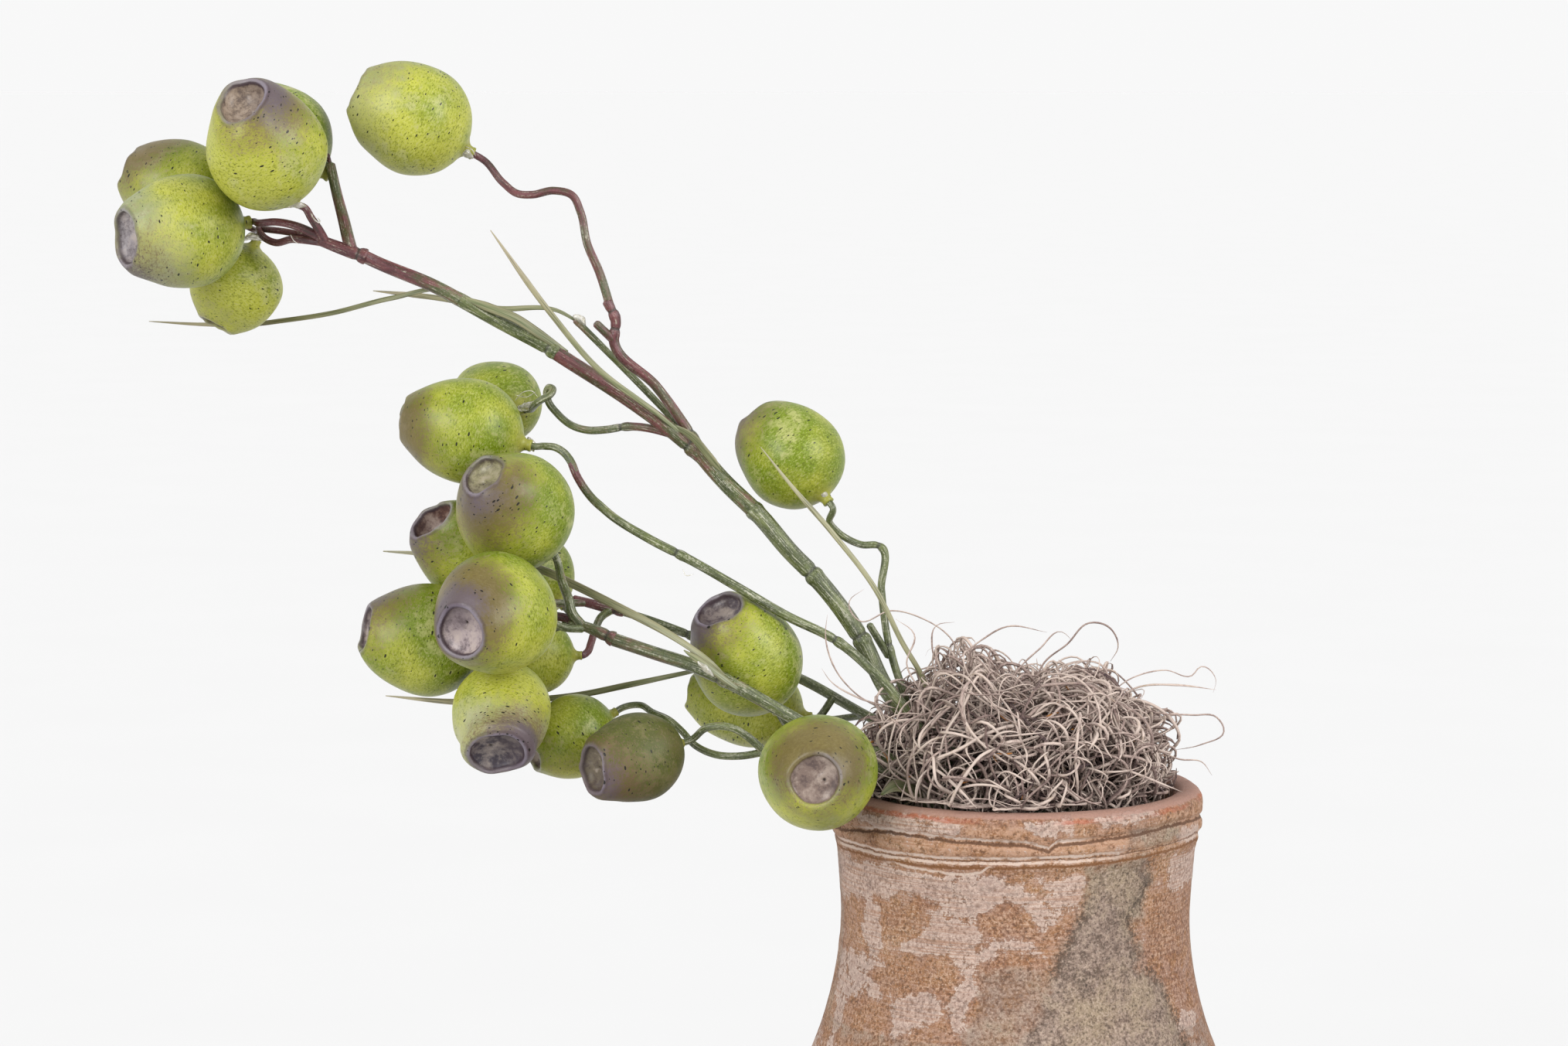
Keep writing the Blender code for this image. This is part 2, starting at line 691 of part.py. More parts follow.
def moss_strand(name, points, section, material, collection):
    """A solid strand through the points."""
    curve = bpy.data.curves.new(name, "CURVE")
    curve.dimensions = "3D"
    curve.bevel_mode = "OBJECT"
    curve.bevel_object = section
    curve.use_fill_caps = True
    spline = curve.splines.new("POLY")
    spline.points.add(len(points) - 1)
    for spot, point in zip(spline.points, points):
        spot.co = (*point, 1)
    guide = bpy.data.objects.new(name + "_route", curve)
    collection.objects.link(guide)
    return new_object(name, mesh_of_curve(guide), material, collection)


def strand_route(draw, turn, share, free):
    """One strand: an arch that stands on the core, or lies round its side, or a flyaway loose at one end."""
    root = moss_surface(turn, share)
    on_side = share > MOSS_SIDE_SHARE
    if on_side:
        root.z = draw.uniform(0.000, 0.012)
    outward = Vector((math.cos(turn) * share, math.sin(turn) * share, 1.15 - share)).normalized()
    heading = draw.uniform(0, math.tau)
    if on_side and not free:
        heading = turn + math.pi / 2
    across = Vector((math.cos(heading), math.sin(heading), draw.uniform(-0.6, 0.6)))
    across = (across - outward * across.dot(outward)).normalized()
    side = outward.cross(across)
    if free:
        rise = draw.uniform(0.010, 0.014)
        span = draw.uniform(0.014, 0.020)
    else:
        rise = draw.uniform(0.008, 0.013)
        span = draw.uniform(0.018, 0.028)
    wave = draw.uniform(-0.004, 0.004)
    points = []
    for step in range(STRAND_SPANS + 1):
        t = step / STRAND_SPANS
        along = t if free else t - 0.5
        lift = rise * math.sin(math.pi * t * (0.7 if free else 1)) - STRAND_SUNK
        place = root + across * span * along + outward * lift + side * wave * math.sin(math.tau * t)
        points.append(clear_of_rim(place) + Vector((0, 0, JAR_HEIGHT)))
    return points


def build_moss(material, collection, cutters, sleeves):
    """A loose nest of curly grey strands on the foam, cut clear of the stems that come up through it."""
    draw = random.Random(MOSS_SEED)
    section = strand_section(cutters)
    pieces = [moss_core(material, collection)]
    golden = math.pi * (3 - math.sqrt(5))
    for number in range(MOSS_LOOPS + MOSS_FLYAWAYS):
        free = number >= MOSS_LOOPS
        share = ((number % MOSS_LOOPS + 0.5) / (MOSS_FLYAWAYS if free else MOSS_LOOPS)) ** 0.33
        points = strand_route(draw, golden * number, share, free)
        pieces.append(moss_strand(f"strand_{number}", points, section, material, collection))
    nest = fused("moss_nest", pieces, material, collection)
    cut = nest.modifiers.new("Clear of stems", "BOOLEAN")
    cut.operation = "DIFFERENCE"
    cut.operand_type = "COLLECTION"
    cut.collection = sleeves
    bpy.context.view_layer.update()
    graph = bpy.context.evaluated_depsgraph_get()
    mesh = bpy.data.meshes.new_from_object(nest.evaluated_get(graph))
    bpy.data.objects.remove(nest, do_unlink=True)
    bpy.data.objects.remove(section, do_unlink=True)
    keep_largest_body(mesh)
    new_object("moss_nest", mesh, material, collection)


def shade_smooth(collection):
    """Rounded pieces are shaded smooth, the turned ones by their modifier too."""
    for obj in collection.objects:
        obj.data.shade_smooth()
        for modifier in obj.modifiers:
            if modifier.type == "SCREW":
                modifier.use_smooth_shade = True


def main():
    clear_scene()
    parts = new_collection("eucalyptus_arrangement")
    cutters = new_collection("cutters")
    sleeves = bpy.data.collections.new("stem_sleeves")
    cutters.children.link(sleeves)
    stem = new_material("moulded_stem", STEM_GREEN, 0.35)
    build_tall_spray(stem, parts, sleeves)
    build_middle_spray(stem, parts, sleeves)
    build_short_spray(stem, parts, sleeves)
    build_low_front_spray(stem, parts, sleeves)
    build_low_back_spray(stem, parts, sleeves)
    build_rim_spray(stem, parts, sleeves)
    green_pod = new_material("green_pod", POD_GREEN, 0.3)
    olive_pod = new_material("olive_pod", POD_OLIVE, 0.6)
    build_pods(green_pod, olive_pod, parts)
    build_jar(new_material("terracotta", TERRACOTTA, 0.85), parts)
    build_foam(new_material("floral_foam", FOAM_GREEN, 0.9), parts, sleeves)
    build_moss(new_material("dried_moss", MOSS_GREY, 0.9), parts, cutters, sleeves)
    shade_smooth(parts)


main()
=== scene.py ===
"""Eucalyptus gumnut sprays in a nest of dried moss, in a tall weathered terracotta jar."""

from collections import defaultdict
import math
import random

import bpy
from mathutils import Matrix, Vector, noise


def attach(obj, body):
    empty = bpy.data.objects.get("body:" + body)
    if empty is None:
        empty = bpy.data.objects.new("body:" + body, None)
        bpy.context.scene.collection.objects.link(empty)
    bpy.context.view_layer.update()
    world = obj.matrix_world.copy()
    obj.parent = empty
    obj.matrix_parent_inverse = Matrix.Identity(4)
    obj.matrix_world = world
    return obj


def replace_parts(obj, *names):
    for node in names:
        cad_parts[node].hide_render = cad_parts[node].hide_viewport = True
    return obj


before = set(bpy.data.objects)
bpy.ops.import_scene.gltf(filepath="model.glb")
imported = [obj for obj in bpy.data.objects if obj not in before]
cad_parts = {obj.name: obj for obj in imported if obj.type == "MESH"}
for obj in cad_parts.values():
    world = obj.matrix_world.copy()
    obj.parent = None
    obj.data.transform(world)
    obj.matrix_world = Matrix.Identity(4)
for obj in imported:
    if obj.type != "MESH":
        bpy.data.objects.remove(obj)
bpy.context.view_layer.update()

# The view, the floor and the light. The photograph looks slightly down from 1.2 m away through a long lens.
# The jar stands on pale paper, with a wide soft light on each side of the camera and white all round.
# A light is its name and how far round from the camera it stands. Turns and heights of lights are in degrees.
JAR_HEIGHT = 0.250
MOUTH = Vector((0, 0, JAR_HEIGHT))
CAMERA_PLACE = (-0.0632, -1.1748, JAR_HEIGHT + 0.1965)
CAMERA_TILT = 6.07
LENS_MM = 100
SENSOR_MM = 36
PAPER_RADIUS = 60.0
PAPER_SIDES = 96
PAPER_DROP = 0.0003
SURROUND = 0.941
SOFT_LIGHTS = (("light_left", -42), ("light_right", 58))
LIGHT_HIGH = 24
LIGHT_POWER = 2.5
LIGHT_SPREAD = 34

camera_data = bpy.data.cameras.new("camera")
camera_data.lens = LENS_MM
camera_data.sensor_width = SENSOR_MM
camera = bpy.data.objects.new("camera", camera_data)
camera.location = CAMERA_PLACE
camera.rotation_euler = (math.radians(90 - CAMERA_TILT), 0, 0)
bpy.context.scene.collection.objects.link(camera)
bpy.context.scene.camera = camera
bpy.context.scene.view_settings.view_transform = "Standard"

for name, round_by in SOFT_LIGHTS:
    data = bpy.data.lights.new(name, "SUN")
    data.energy = LIGHT_POWER
    data.angle = math.radians(LIGHT_SPREAD)
    light = bpy.data.objects.new(name, data)
    light.rotation_euler = (math.radians(90 - LIGHT_HIGH), 0, math.radians(round_by))
    bpy.context.scene.collection.objects.link(light)

world = bpy.data.worlds.new("white_surround")
bpy.context.scene.world = world
world.use_nodes = True
world.node_tree.nodes["Background"].inputs["Color"].default_value = (1, 1, 1, 1)
world.node_tree.nodes["Background"].inputs["Strength"].default_value = SURROUND


def linear(code):
    """A colour given as an sRGB hex code, as linear red, green, blue and alpha."""
    parts = [int(code[i : i + 2], 16) / 255 for i in (1, 3, 5)]
    return (*((p / 12.92 if p <= 0.04045 else ((p + 0.055) / 1.055) ** 2.4) for p in parts), 1)


def add(tree, kind, sockets=None, stops=None, **settings):
    """Adds a node. Each socket gets a value, or is joined to a node's first output or to an output itself."""
    node = tree.nodes.new("ShaderNode" + kind)
    for setting, value in settings.items():
        setattr(node, setting, value)
    for number, (place, colour) in enumerate(stops or ()):
        stop = node.color_ramp.elements[number] if number < 2 else node.color_ramp.elements.new(place)
        stop.position = place
        stop.color = linear(colour)
    for key, value in (sockets or {}).items():
        if isinstance(key, int):
            socket = node.inputs[key]
        else:
            socket = next(s for s in node.inputs if s.enabled and s.name == key)
        if isinstance(value, bpy.types.Node):
            value = next(output for output in value.outputs if output.enabled)
        if isinstance(value, bpy.types.NodeSocket):
            tree.links.new(value, socket)
        else:
            socket.default_value = value
    return node


def new_finish(name):
    """An empty material and its node tree."""
    finish = bpy.data.materials.new(name)
    finish.use_nodes = True
    finish.node_tree.nodes.clear()
    return finish, finish.node_tree


def new_piece(name, form, finish):
    """A smooth piece from a form: its points, its faces, and marks at its points that its finish reads by name."""
    mesh = bpy.data.meshes.new(name)
    mesh.from_pydata(form.pop("points"), [], form.pop("faces"))
    for mark, values in form.items():
        if isinstance(values[0], (int, float)):
            mesh.attributes.new(mark, "FLOAT", "POINT").data.foreach_set("value", values)
        else:
            flat = [number for value in values for number in value]
            mesh.attributes.new(mark, "FLOAT_VECTOR", "POINT").data.foreach_set("vector", flat)
    mesh.materials.append(finish)
    mesh.shade_smooth()
    piece = bpy.data.objects.new(name, mesh)
    bpy.context.scene.collection.objects.link(piece)
    return piece


# Matt white background paper: dull, with a faint tooth about 1 mm across so that it isn't a dead flat tone
paper, tree = new_finish("white_paper")
tooth = add(tree, "TexNoise", {"Scale": 900.0, "Detail": 2.0})
tone = add(tree, "Mix", {"Factor": tooth, "A": linear("#c8c8c8"), "B": linear("#cacaca")}, data_type="RGBA")
shader = add(tree, "BsdfPrincipled", {"Base Color": tone, "Roughness": 0.9, "Specular IOR Level": 0.2})
add(tree, "OutputMaterial", {"Surface": shader})
turns = [math.tau * step / PAPER_SIDES for step in range(PAPER_SIDES)]
edge = [(PAPER_RADIUS * math.cos(turn), PAPER_RADIUS * math.sin(turn), 0) for turn in turns]
floor = new_piece("floor", {"points": edge, "faces": [tuple(range(PAPER_SIDES))]}, paper)
floor.location.z = -PAPER_DROP


# The jar. Red-brown earthenware thrown on a wheel: a rolled rim, two grooves with a bead between them, a narrow
# neck and a full belly. Most of an old lime wash has worn off, and damp has left a grey-green stain down one side.
JAR_TURNS = 360
NECK_MM = 49.0
# Its outline in metres, as radius and height from the mouth: the rim, the body and the inside
JAR_RIM = (
    (0.0420, -0.0180), (0.0420, -0.0060), (0.0430, -0.0018), (0.0445, -0.0004), (0.0465, 0.0000),
    (0.0494, -0.0007), (0.0506, -0.0024), (0.0508, -0.0050), (0.0506, -0.0080), (0.0504, -0.0108),
    (0.0498, -0.0134), (0.0489, -0.0160), (0.0484, -0.0205), (0.0480, -0.0260),
)
JAR_BODY = (
    (0.0480, -0.0260), (0.0476, -0.0360), (0.0482, -0.0450), (0.0499, -0.0550), (0.0532, -0.0670),
    (0.0605, -0.0850), (0.0695, -0.1030), (0.0775, -0.1220), (0.0822, -0.1430), (0.0820, -0.1650),
    (0.0770, -0.1880), (0.0680, -0.2120), (0.0580, -0.2340), (0.0515, -0.2475), (0.0500, -0.2500),
)
JAR_INSIDE = (
    (0.0010, -0.2410), (0.0360, -0.2410), (0.0515, -0.2270), (0.0690, -0.1900), (0.0755, -0.1550),
    (0.0640, -0.1060), (0.0475, -0.0730), (0.0416, -0.0500), (0.0411, -0.0360), (0.0420, -0.0180),
)
# What is left of the lime wash, each patch as how solid it is and its corners in degrees round from the front
# and mm down from the mouth. 3 is a solid patch, under 1 is brushed so thin that it breaks up. The patches rubbed
# bare, the damp stain and the dark cracks along its edge are given in the same way.
LIME = (
    (3.0, ((-95, -18), (-77, -17), (-49, -15.5), (-38, -17), (-24, -17.5), (-20, -21), (-24, -25), (-35, -24.5),
           (-51, -25), (-61, -27), (-81, -29), (-95, -28))),
    (0.9, ((-24, -17.5), (-10, -17.5), (0, -18), (2, -25), (-8, -29), (-20, -27), (-27, -26))),
    (2.5, ((-58, -27), (-52, -28), (-51, -35), (-50, -41), (-54, -43.5), (-59, -39), (-62, -35))),
    (1.8, ((-35, -28), (-27, -28), (-19, -28), (-15, -31), (-14, -35), (-19, -38), (-27, -39), (-32, -40),
           (-42, -41), (-42, -36), (-34, -35), (-32, -32))),
    (1.2, ((-25, -38), (-10, -35), (6, -35), (7, -37), (-10, -38), (-23, -40))),
    (3.0, ((-23, -39), (-15, -40), (-15, -43), (-17, -53), (-20, -58), (-24, -56), (-24, -49), (-18, -42))),
    (3.0, ((-44, -53), (-31, -48), (-27, -50), (-27, -56), (-36, -60), (-42, -62), (-42, -58), (-47, -55))),
    (3.0, ((6, -17), (16, -16), (20, -18), (18, -24), (13, -26), (5, -23), (9, -21), (6, -19))),
    (0.7, ((-4, -21), (4, -23), (10, -27), (8, -30), (1, -30))),
    (3.0, ((53, -15.5), (73, -15), (95, -15), (92, -26), (77, -25), (55, -24))),
    (1.5, ((59, -58), (72, -61), (64, -66), (55, -61))),
    (2.5, ((-76, -55), (-68, -56), (-66, -63), (-72, -70))),
    (0.8, ((-60, -2.5), (-45, -1.5), (-22, -2), (-16, -4.5), (-30, -6), (-50, -6.5))),
    (1.2, ((1, -1.5), (14, -1.5), (16, -4.5), (6, -5.5), (1, -4.5))),
    (1.0, ((22, -1.5), (38, -1.5), (46, -3), (34, -4.5), (22, -4.5))),
    (1.6, ((50, -7), (60, -7.5), (72, -8), (72, -11.5), (56, -11.5))),
    (0.5, ((-80, -44), (-64, -42), (-44, -44), (-46, -52), (-64, -54), (-80, -54))),
)
BARE = (
    ((-51, -26), (-41, -24), (-32, -26), (-31, -28), (-34, -35), (-42, -38), (-50, -41), (-52, -33)),
    ((-15, -27), (-7, -24), (-1, -26), (5, -31), (7, -34), (-10, -34.5), (-15, -34)),
    ((-58, -45), (-25, -41), (-19, -43), (-24, -49), (-35, -47), (-49, -52)),
    ((46, -26), (76, -28), (86, -46), (46, -43), (42, -34)),
    ((-44, -8), (-27, -8), (-10, -8.5), (4, -9.5), (20, -8.5), (20, -10.3), (-10, -10.5), (-44, -10.5)),
    ((-20, -2.5), (-6, -2.5), (-4, -5.5), (-20, -5.5)),
)
STAIN = (
    (3.0, ((20, -14), (41, -13), (46, -19), (42, -25), (43, -30), (37, -33), (40, -39), (41, -44), (51, -50),
           (54, -58), (60, -70), (66, -90), (50, -110), (16, -104), (2, -84), (-4, -62), (4, -54), (8, -42),
           (13, -37), (18, -27), (20, -19))),
    (0.6, ((-14, -42), (8, -42), (9, -48), (4, -61), (0, -80), (-26, -84), (-19, -61), (-14, -54))),
    (1.2, ((34, -6), (56, -5), (56, -9.5), (34, -10.5))),
)
CRACKS = (
    ((44, -17), (42, -23), (35, -30), (38, -35), (40, -41), (50, -50), (54, -57), (57, -66)),
    ((20, -25), (17, -31), (13, -37), (10, -42)),
    ((18, -44), (20, -47)),
)
# The two grooves, and a third line of scale, in degrees and mm
UPPER_GROOVE = (
    (-180, -7.5), (-90, -8.5), (-70, -9), (-54, -7), (-45, -5.8), (-27, -6.2), (-10, -7), (-1, -7.2), (4, -8.2),
    (7, -9.2), (9.5, -7.2), (16, -7), (25, -6.4), (35, -6), (51, -5.2), (64, -5.8), (90, -7.3), (180, -7.5),
)
LOWER_GROOVE = (
    (-180, -13), (-90, -13.2), (-55, -12.8), (-32, -12.6), (-6, -12.1), (16, -11.8), (35, -11.2), (47, -10.8),
    (72, -10.6), (90, -13.2), (180, -13),
)
THIRD_LINE = ((-180, -17), (-60, -15), (-46, -15.2), (-28, -16.1), (-19, -16.3), (-14, -15.8), (-11, -14), (180, -13))


def smooth_through(points, step):
    """Points about a step apart on a smooth curve that runs through the given points."""
    points = [Vector(point) for point in points]
    chords = [end - start for start, end in zip(points, points[1:])]
    headings = [chords[0].normalized()]
    for before, after in zip(chords, chords[1:]):
        heading = before.normalized() * after.length + after.normalized() * before.length
        headings.append(heading.normalized())
    headings.append(chords[-1].normalized())
    route = [points[0]]
    for number, chord in enumerate(chords):
        start, end = points[number], points[number + 1]
        leaving, arriving = headings[number] * chord.length, headings[number + 1] * chord.length
        spans = max(1, round(chord.length / step))
        for i in range(1, spans + 1):
            t = i / spans
            route.append(
                start * (2 * t**3 - 3 * t**2 + 1) + leaving * (t**3 - 2 * t**2 + t)
                + end * (3 * t**2 - 2 * t**3) + arriving * (t**3 - t**2)
            )
    return route


def ease(low, high, value):
    """0 at low, 1 at high, and smooth between them, whichever of the two is the greater."""
    t = min(1, max(0, (value - low) / (high - low)))
    return t * t * (3 - 2 * t)


def bell(value, width):
    """1 where the value is 0, and less on both sides of it."""
    return math.exp(-((value / width) ** 2))


def ringed(first, rows, turns):
    """The faces of a tube closed at both ends, whose rings of points follow each other from number first on."""
    last = first + (rows - 1) * turns
    faces = []
    for row in range(first, last, turns):
        for step in range(turns):
            a, b = row + step, row + (step + 1) % turns
            faces.append((a, b, b + turns, a + turns))
    return [*faces, tuple(range(first, first + turns))[::-1], tuple(range(last, last + turns))]


def unrolled(corners):
    """Corners in degrees and mm, as mm both ways on the jar's unrolled neck."""
    return tuple((math.radians(turn) * NECK_MM, height) for turn, height in corners)


def boxed(patches):
    """Patches with their corners unrolled and closed, and a box round each that leaves 4 mm to spare."""
    table = []
    for solid, corners in patches:
        corners = unrolled((*corners, corners[0]))
        us, vs = zip(*corners)
        table.append((solid, corners, min(us) - 4, max(us) + 4, min(vs) - 4, max(vs) + 4))
    return table


def distance(line, u, v):
    """How far a spot is from a line of straight pieces, in mm."""
    nearest = 1e9
    for (u0, v0), (u1, v1) in zip(line, line[1:]):
        du, dv = u1 - u0, v1 - v0
        share = min(1, max(0, ((u - u0) * du + (v - v0) * dv) / (du * du + dv * dv)))
        nearest = min(nearest, (u0 + du * share - u) ** 2 + (v0 + dv * share - v) ** 2)
    return math.sqrt(nearest)


def deepest(patches, u, v, outside):
    """How far a spot is inside the patch that it is most inside of, up to how solid that patch is."""
    best = outside
    for solid, corners, left, right, low, high in patches:
        if left < u < right and low < v < high:
            inside = -1
            for (u0, v0), (u1, v1) in zip(corners, corners[1:]):
                if (v0 > v) != (v1 > v) and u < u0 + (u1 - u0) * (v - v0) / (v1 - v0):
                    inside = -inside
            best = max(best, min(solid, inside * distance(corners, u, v)))
    return best


def read_line(line, turn):
    """The height of a groove or line at an angle."""
    for (t0, z0), (t1, z1) in zip(line, line[1:]):
        if turn <= t1:
            return z0 + (z1 - z0) * (turn - t0) / (t1 - t0)
    return line[-1][1]


lime_patches, stain_patches, bare_patches = boxed(LIME), boxed(STAIN), boxed([(9.0, patch) for patch in BARE])
crack_lines = [unrolled(crack) for crack in CRACKS]
# The rows of the outline, each with whether it is on the outside. Rows are closer where the shape is finer.
outline = []
for corners, apart, outside in (
    (JAR_INSIDE, 0.008, False), (JAR_RIM, 0.0005, True), (JAR_BODY[:6], 0.0012, True), (JAR_BODY[5:], 0.0024, True),
):
    spots = smooth_through([(r, 0, z) for r, z in corners], apart)
    outline += [(spot.x, spot.z, outside) for spot in (spots[1:] if outside else spots)]
form = defaultdict(list)
for radius, depth, outside in outline:
    v0 = depth * 1000
    for step in range(JAR_TURNS):
        angle = math.tau * step / JAR_TURNS
        cosine, sine = math.cos(angle), math.sin(angle)
        turn = math.degrees(math.atan2(cosine, -sine))
        place = Vector((radius * cosine, radius * sine, depth))
        limed, stained, cracked, grown = -3.0, -3.0, 3.0, 0.0
        upper = lower = third = 9.0
        whites = (0.0, 0.0, 0.0)
        if outside:
            # The edges of patches wander by up to 2 mm
            sway = Vector((noise.noise(place * 90), noise.noise(place * 90 + Vector((7, 7, 7))), 0)) * 2.2
            sway += Vector((noise.noise(place * 320), noise.noise(place * 320 + Vector((3, 3, 3))), 0)) * 1.3
            u, v = math.radians(turn) * NECK_MM + sway.x, v0 + sway.y
            # Round the back and under the shoulder, where the photograph shows nothing, wash and damp go on at random
            rough = noise.fractal(place * 60, 0.8, 2.2, 4)
            unseen = max(ease(80, 98, abs(turn)), ease(62, 72, -v0))
            limed = deepest(lime_patches, u, v, -1.6)
            limed = min(limed, -deepest(bare_patches, u, v, -9.0) * 1.5)
            limed = limed * (1 - unseen) + (rough * 6 - 1.0) * unseen
            stained = deepest(stain_patches, u, v, -3.0)
            if unseen > 0 and stained < 0:
                stained = max(stained, (noise.fractal(place * 28 + Vector((5, 1, 2)), 0.9, 2, 3) * 6 - 2.2) * unseen)
            if -70 < v0 < -14 and 5 < turn < 62:
                cracked = min(3.0, *(distance(line, u - sway.x * 0.4, v - sway.y * 0.4) for line in crack_lines))
            wave = 0.5 * noise.noise(Vector((3 * cosine, 3 * sine, 1.3))) + 0.25 * noise.noise(place * 420)
            upper = v0 - read_line(UPPER_GROOVE, turn) - wave
            lower = v0 - read_line(LOWER_GROOVE, turn) - wave * 0.7
            third = v0 - read_line(THIRD_LINE, turn) - wave
            # How much scale is left in the upper groove, the lower one and the third line
            whites = (
                ease(-66, -50, turn) * ease(24, 12, turn),
                max(ease(-84, -70, turn) * ease(40, 18, turn), 0.6 * ease(56, 62, turn)),
                ease(-50, -44, turn) * ease(-9, -12, turn),
            )
            # The wall: out of true, with wheel marks, raised wash and crust, cut grooves, the bead and the cracks
            grown += 0.00050 * noise.noise(Vector((3 * cosine, 3 * sine, depth * 22)))
            grown += 0.00006 * noise.noise(Vector((place.x * 20, place.y * 20, depth * 800)))
            grown += 0.00010 * ease(-0.3, 0.6, limed) + 0.00018 * ease(-0.5, 1, stained) * noise.noise(place * 500)
            grown -= 0.00095 * bell(upper + 0.5, 0.75)
            grown -= 0.00060 * bell(lower + 0.1, 0.85)
            grown += 0.00022 * bell(v0 + 9.8, 1.2)
            grown -= 0.0003 * max(0, 1 - cracked)
        form["points"].append(place + Vector((cosine, sine, 0)) * grown + MOUTH)
        form["lime"].append(limed)
        form["stain"].append(stained)
        form["crack"].append(cracked)
        form["grooves"].append((upper, lower, third))
        form["scale_on"].append(whites)
form["faces"] = [face[::-1] for face in ringed(0, len(outline), JAR_TURNS)]

# Terracotta, thrown and low fired: an open, sandy clay body that is quite matt (IOR about 1.5, roughness 0.85
# to 0.95) and varies from ochre to brick. The lime wash is chalky and pink-grey, and the clay grins through it.
terracotta, tree = new_finish("weathered_terracotta")
seat = add(tree, "TexCoord").outputs["Object"]
height = add(tree, "SeparateXYZ", {0: seat}).outputs["Z"]
level = add(tree, "Math", {0: height, 1: JAR_HEIGHT}, operation="SUBTRACT")
limed, stained, cracked = (
    add(tree, "Attribute", attribute_name=mark).outputs["Fac"] for mark in ("lime", "stain", "crack")
)
grooved, scaled = (
    add(tree, "SeparateXYZ", {0: add(tree, "Attribute", attribute_name=mark).outputs["Vector"]}).outputs
    for mark in ("grooves", "scale_on")
)


def mapped(value, low, high, start=0.0, end=1.0):
    """start where the value is low and end where it is high, and even between them."""
    sockets = {"Value": value, "From Min": low, "From Max": high, "To Min": start, "To Max": end}
    return add(tree, "MapRange", sockets)


def summed(first, *terms):
    """A value with each (other value, how much of it) added."""
    for value, share in terms:
        first = add(tree, "Math", {0: value, 1: share, 2: first}, operation="MULTIPLY_ADD")
    return first


def times(first, second):
    """Two values multiplied."""
    return add(tree, "Math", {0: first, 1: second}, operation="MULTIPLY")


def laid(amount, under, over):
    """A colour laid over another where amount is 1. Either may be a hex code."""
    under, over = (linear(colour) if isinstance(colour, str) else colour for colour in (under, over))
    return add(tree, "Mix", {"Factor": amount, "A": under, "B": over}, data_type="RGBA")


def coated(under, *coats):
    """A colour under coats, each as a value, where on it the coat starts and is full, how solid, and its colour."""
    for value, start, full, solid, colour in coats:
        under = laid(mapped(value, start, full, 0.0, solid), under, colour)
    return under


# Clay clouds 25 mm across, spots 4 mm across, sand 0.4 to 0.9 mm, and brush and wheel marks under 1 mm high
around, wheel = (
    add(tree, "Mapping", {"Vector": seat, "Scale": scale}) for scale in ((90.0, 90.0, 1300.0), (34.0, 34.0, 2300.0))
)
clouds, blotches, sand, specks, chalk, mottle, brush, wheel = (
    add(tree, "TexNoise", {"Vector": where, "Scale": scale, "Detail": detail, "Roughness": roughness})
    for where, scale, detail, roughness in (
        (seat, 42.0, 4.0, 0.6), (seat, 240.0, 6.0, 0.7), (seat, 1100.0, 4.0, 0.75), (seat, 2300.0, 2.0, 0.6),
        (seat, 1500.0, 3.0, 0.8), (seat, 620.0, 6.0, 0.8), (around, 1.0, 4.0, 0.7), (wheel, 1.0, 3.0, 0.7),
    )
)
clay = add(tree, "ValToRGB", {"Fac": summed(clouds, (blotches, 0.35))}, stops=(
    (0.46, "#6c4b3d"), (0.62, "#7d5640"), (0.72, "#8a603b"), (0.86, "#916c48"),
))
clay = coated(
    clay,
    (blotches, 0.47, 0.58, 0.70, "#7f6252"),
    (summed(blotches, (clouds, 0.8)), 0.86, 0.72, 0.6, "#96683c"),
    (summed(sand, (brush, 0.5)), 0.74, 0.88, 0.75, "#a88b76"),
    (sand, 0.475, 0.365, 0.80, "#4c3226"),
    (summed(chalk, (clouds, 0.5)), 0.80, 0.92, 0.7, "#bda491"),
    (specks, 0.42, 0.32, 0.6, "#57392a"),
)
# Lime wash: the brush's streaks and the clay's grain break up its edges, and a thin film of it lies on the clay
ragged = summed(limed, (blotches, 8.0), (brush, 2.6), (sand, 4.0), (specks, 1.2), (wheel, 2.0), (chalk, 1.6))
lime_here = mapped(ragged, 9.45, 9.95, 0.0, 0.90)
lime_tone = add(tree, "ValToRGB", {"Fac": summed(sand, (clouds, 0.5))}, stops=(
    (0.58, "#84716a"), (0.74, "#a08b80"), (0.92, "#b8a498"),
))
lime_tone = coated(lime_tone, (specks, 0.46, 0.34, 0.5, "#775a4b"), (sand, 0.46, 0.36, 0.65, "#735848"))
collar = times(mapped(level, -0.0125, -0.0105), mapped(level, -0.002, -0.004))
surface = laid(times(collar, mapped(blotches, 0.44, 0.54, 0.0, 0.6)), clay, "#b28d70")
surface = coated(surface, (ragged, 7.9, 9.5, 0.50, "#97796a"))
surface = laid(lime_here, surface, lime_tone)
tide = times(mapped(ragged, 9.6, 9.95), mapped(ragged, 10.7, 9.95))
surface = laid(times(tide, 0.45), surface, "#c6b5a9")
worn = times(mapped(wheel, 0.50, 0.40, 0.0, 0.6), mapped(clouds, 0.42, 0.56))
surface = laid(worn, surface, "#8a6247")
# The damp stain: grey-green algae and dirt as a mottled crust, with dots 0.5 to 2 mm across
algae = add(tree, "ValToRGB", {"Fac": summed(-0.25, (mottle, 1.0), (clouds, 0.5), (blotches, 0.8))}, stops=(
    (0.72, "#4c4139"), (0.84, "#6f5f56"), (0.94, "#847367"), (1.0, "#8d7c6e"),
))
algae = coated(
    algae,
    (summed(clouds, (blotches, 0.4)), 0.68, 0.84, 0.35, "#837754"),
    (chalk, 0.52, 0.66, 0.6, "#b09f91"),
    (summed(chalk, (sand, 0.5)), 0.72, 0.60, 0.85, "#39302a"),
)
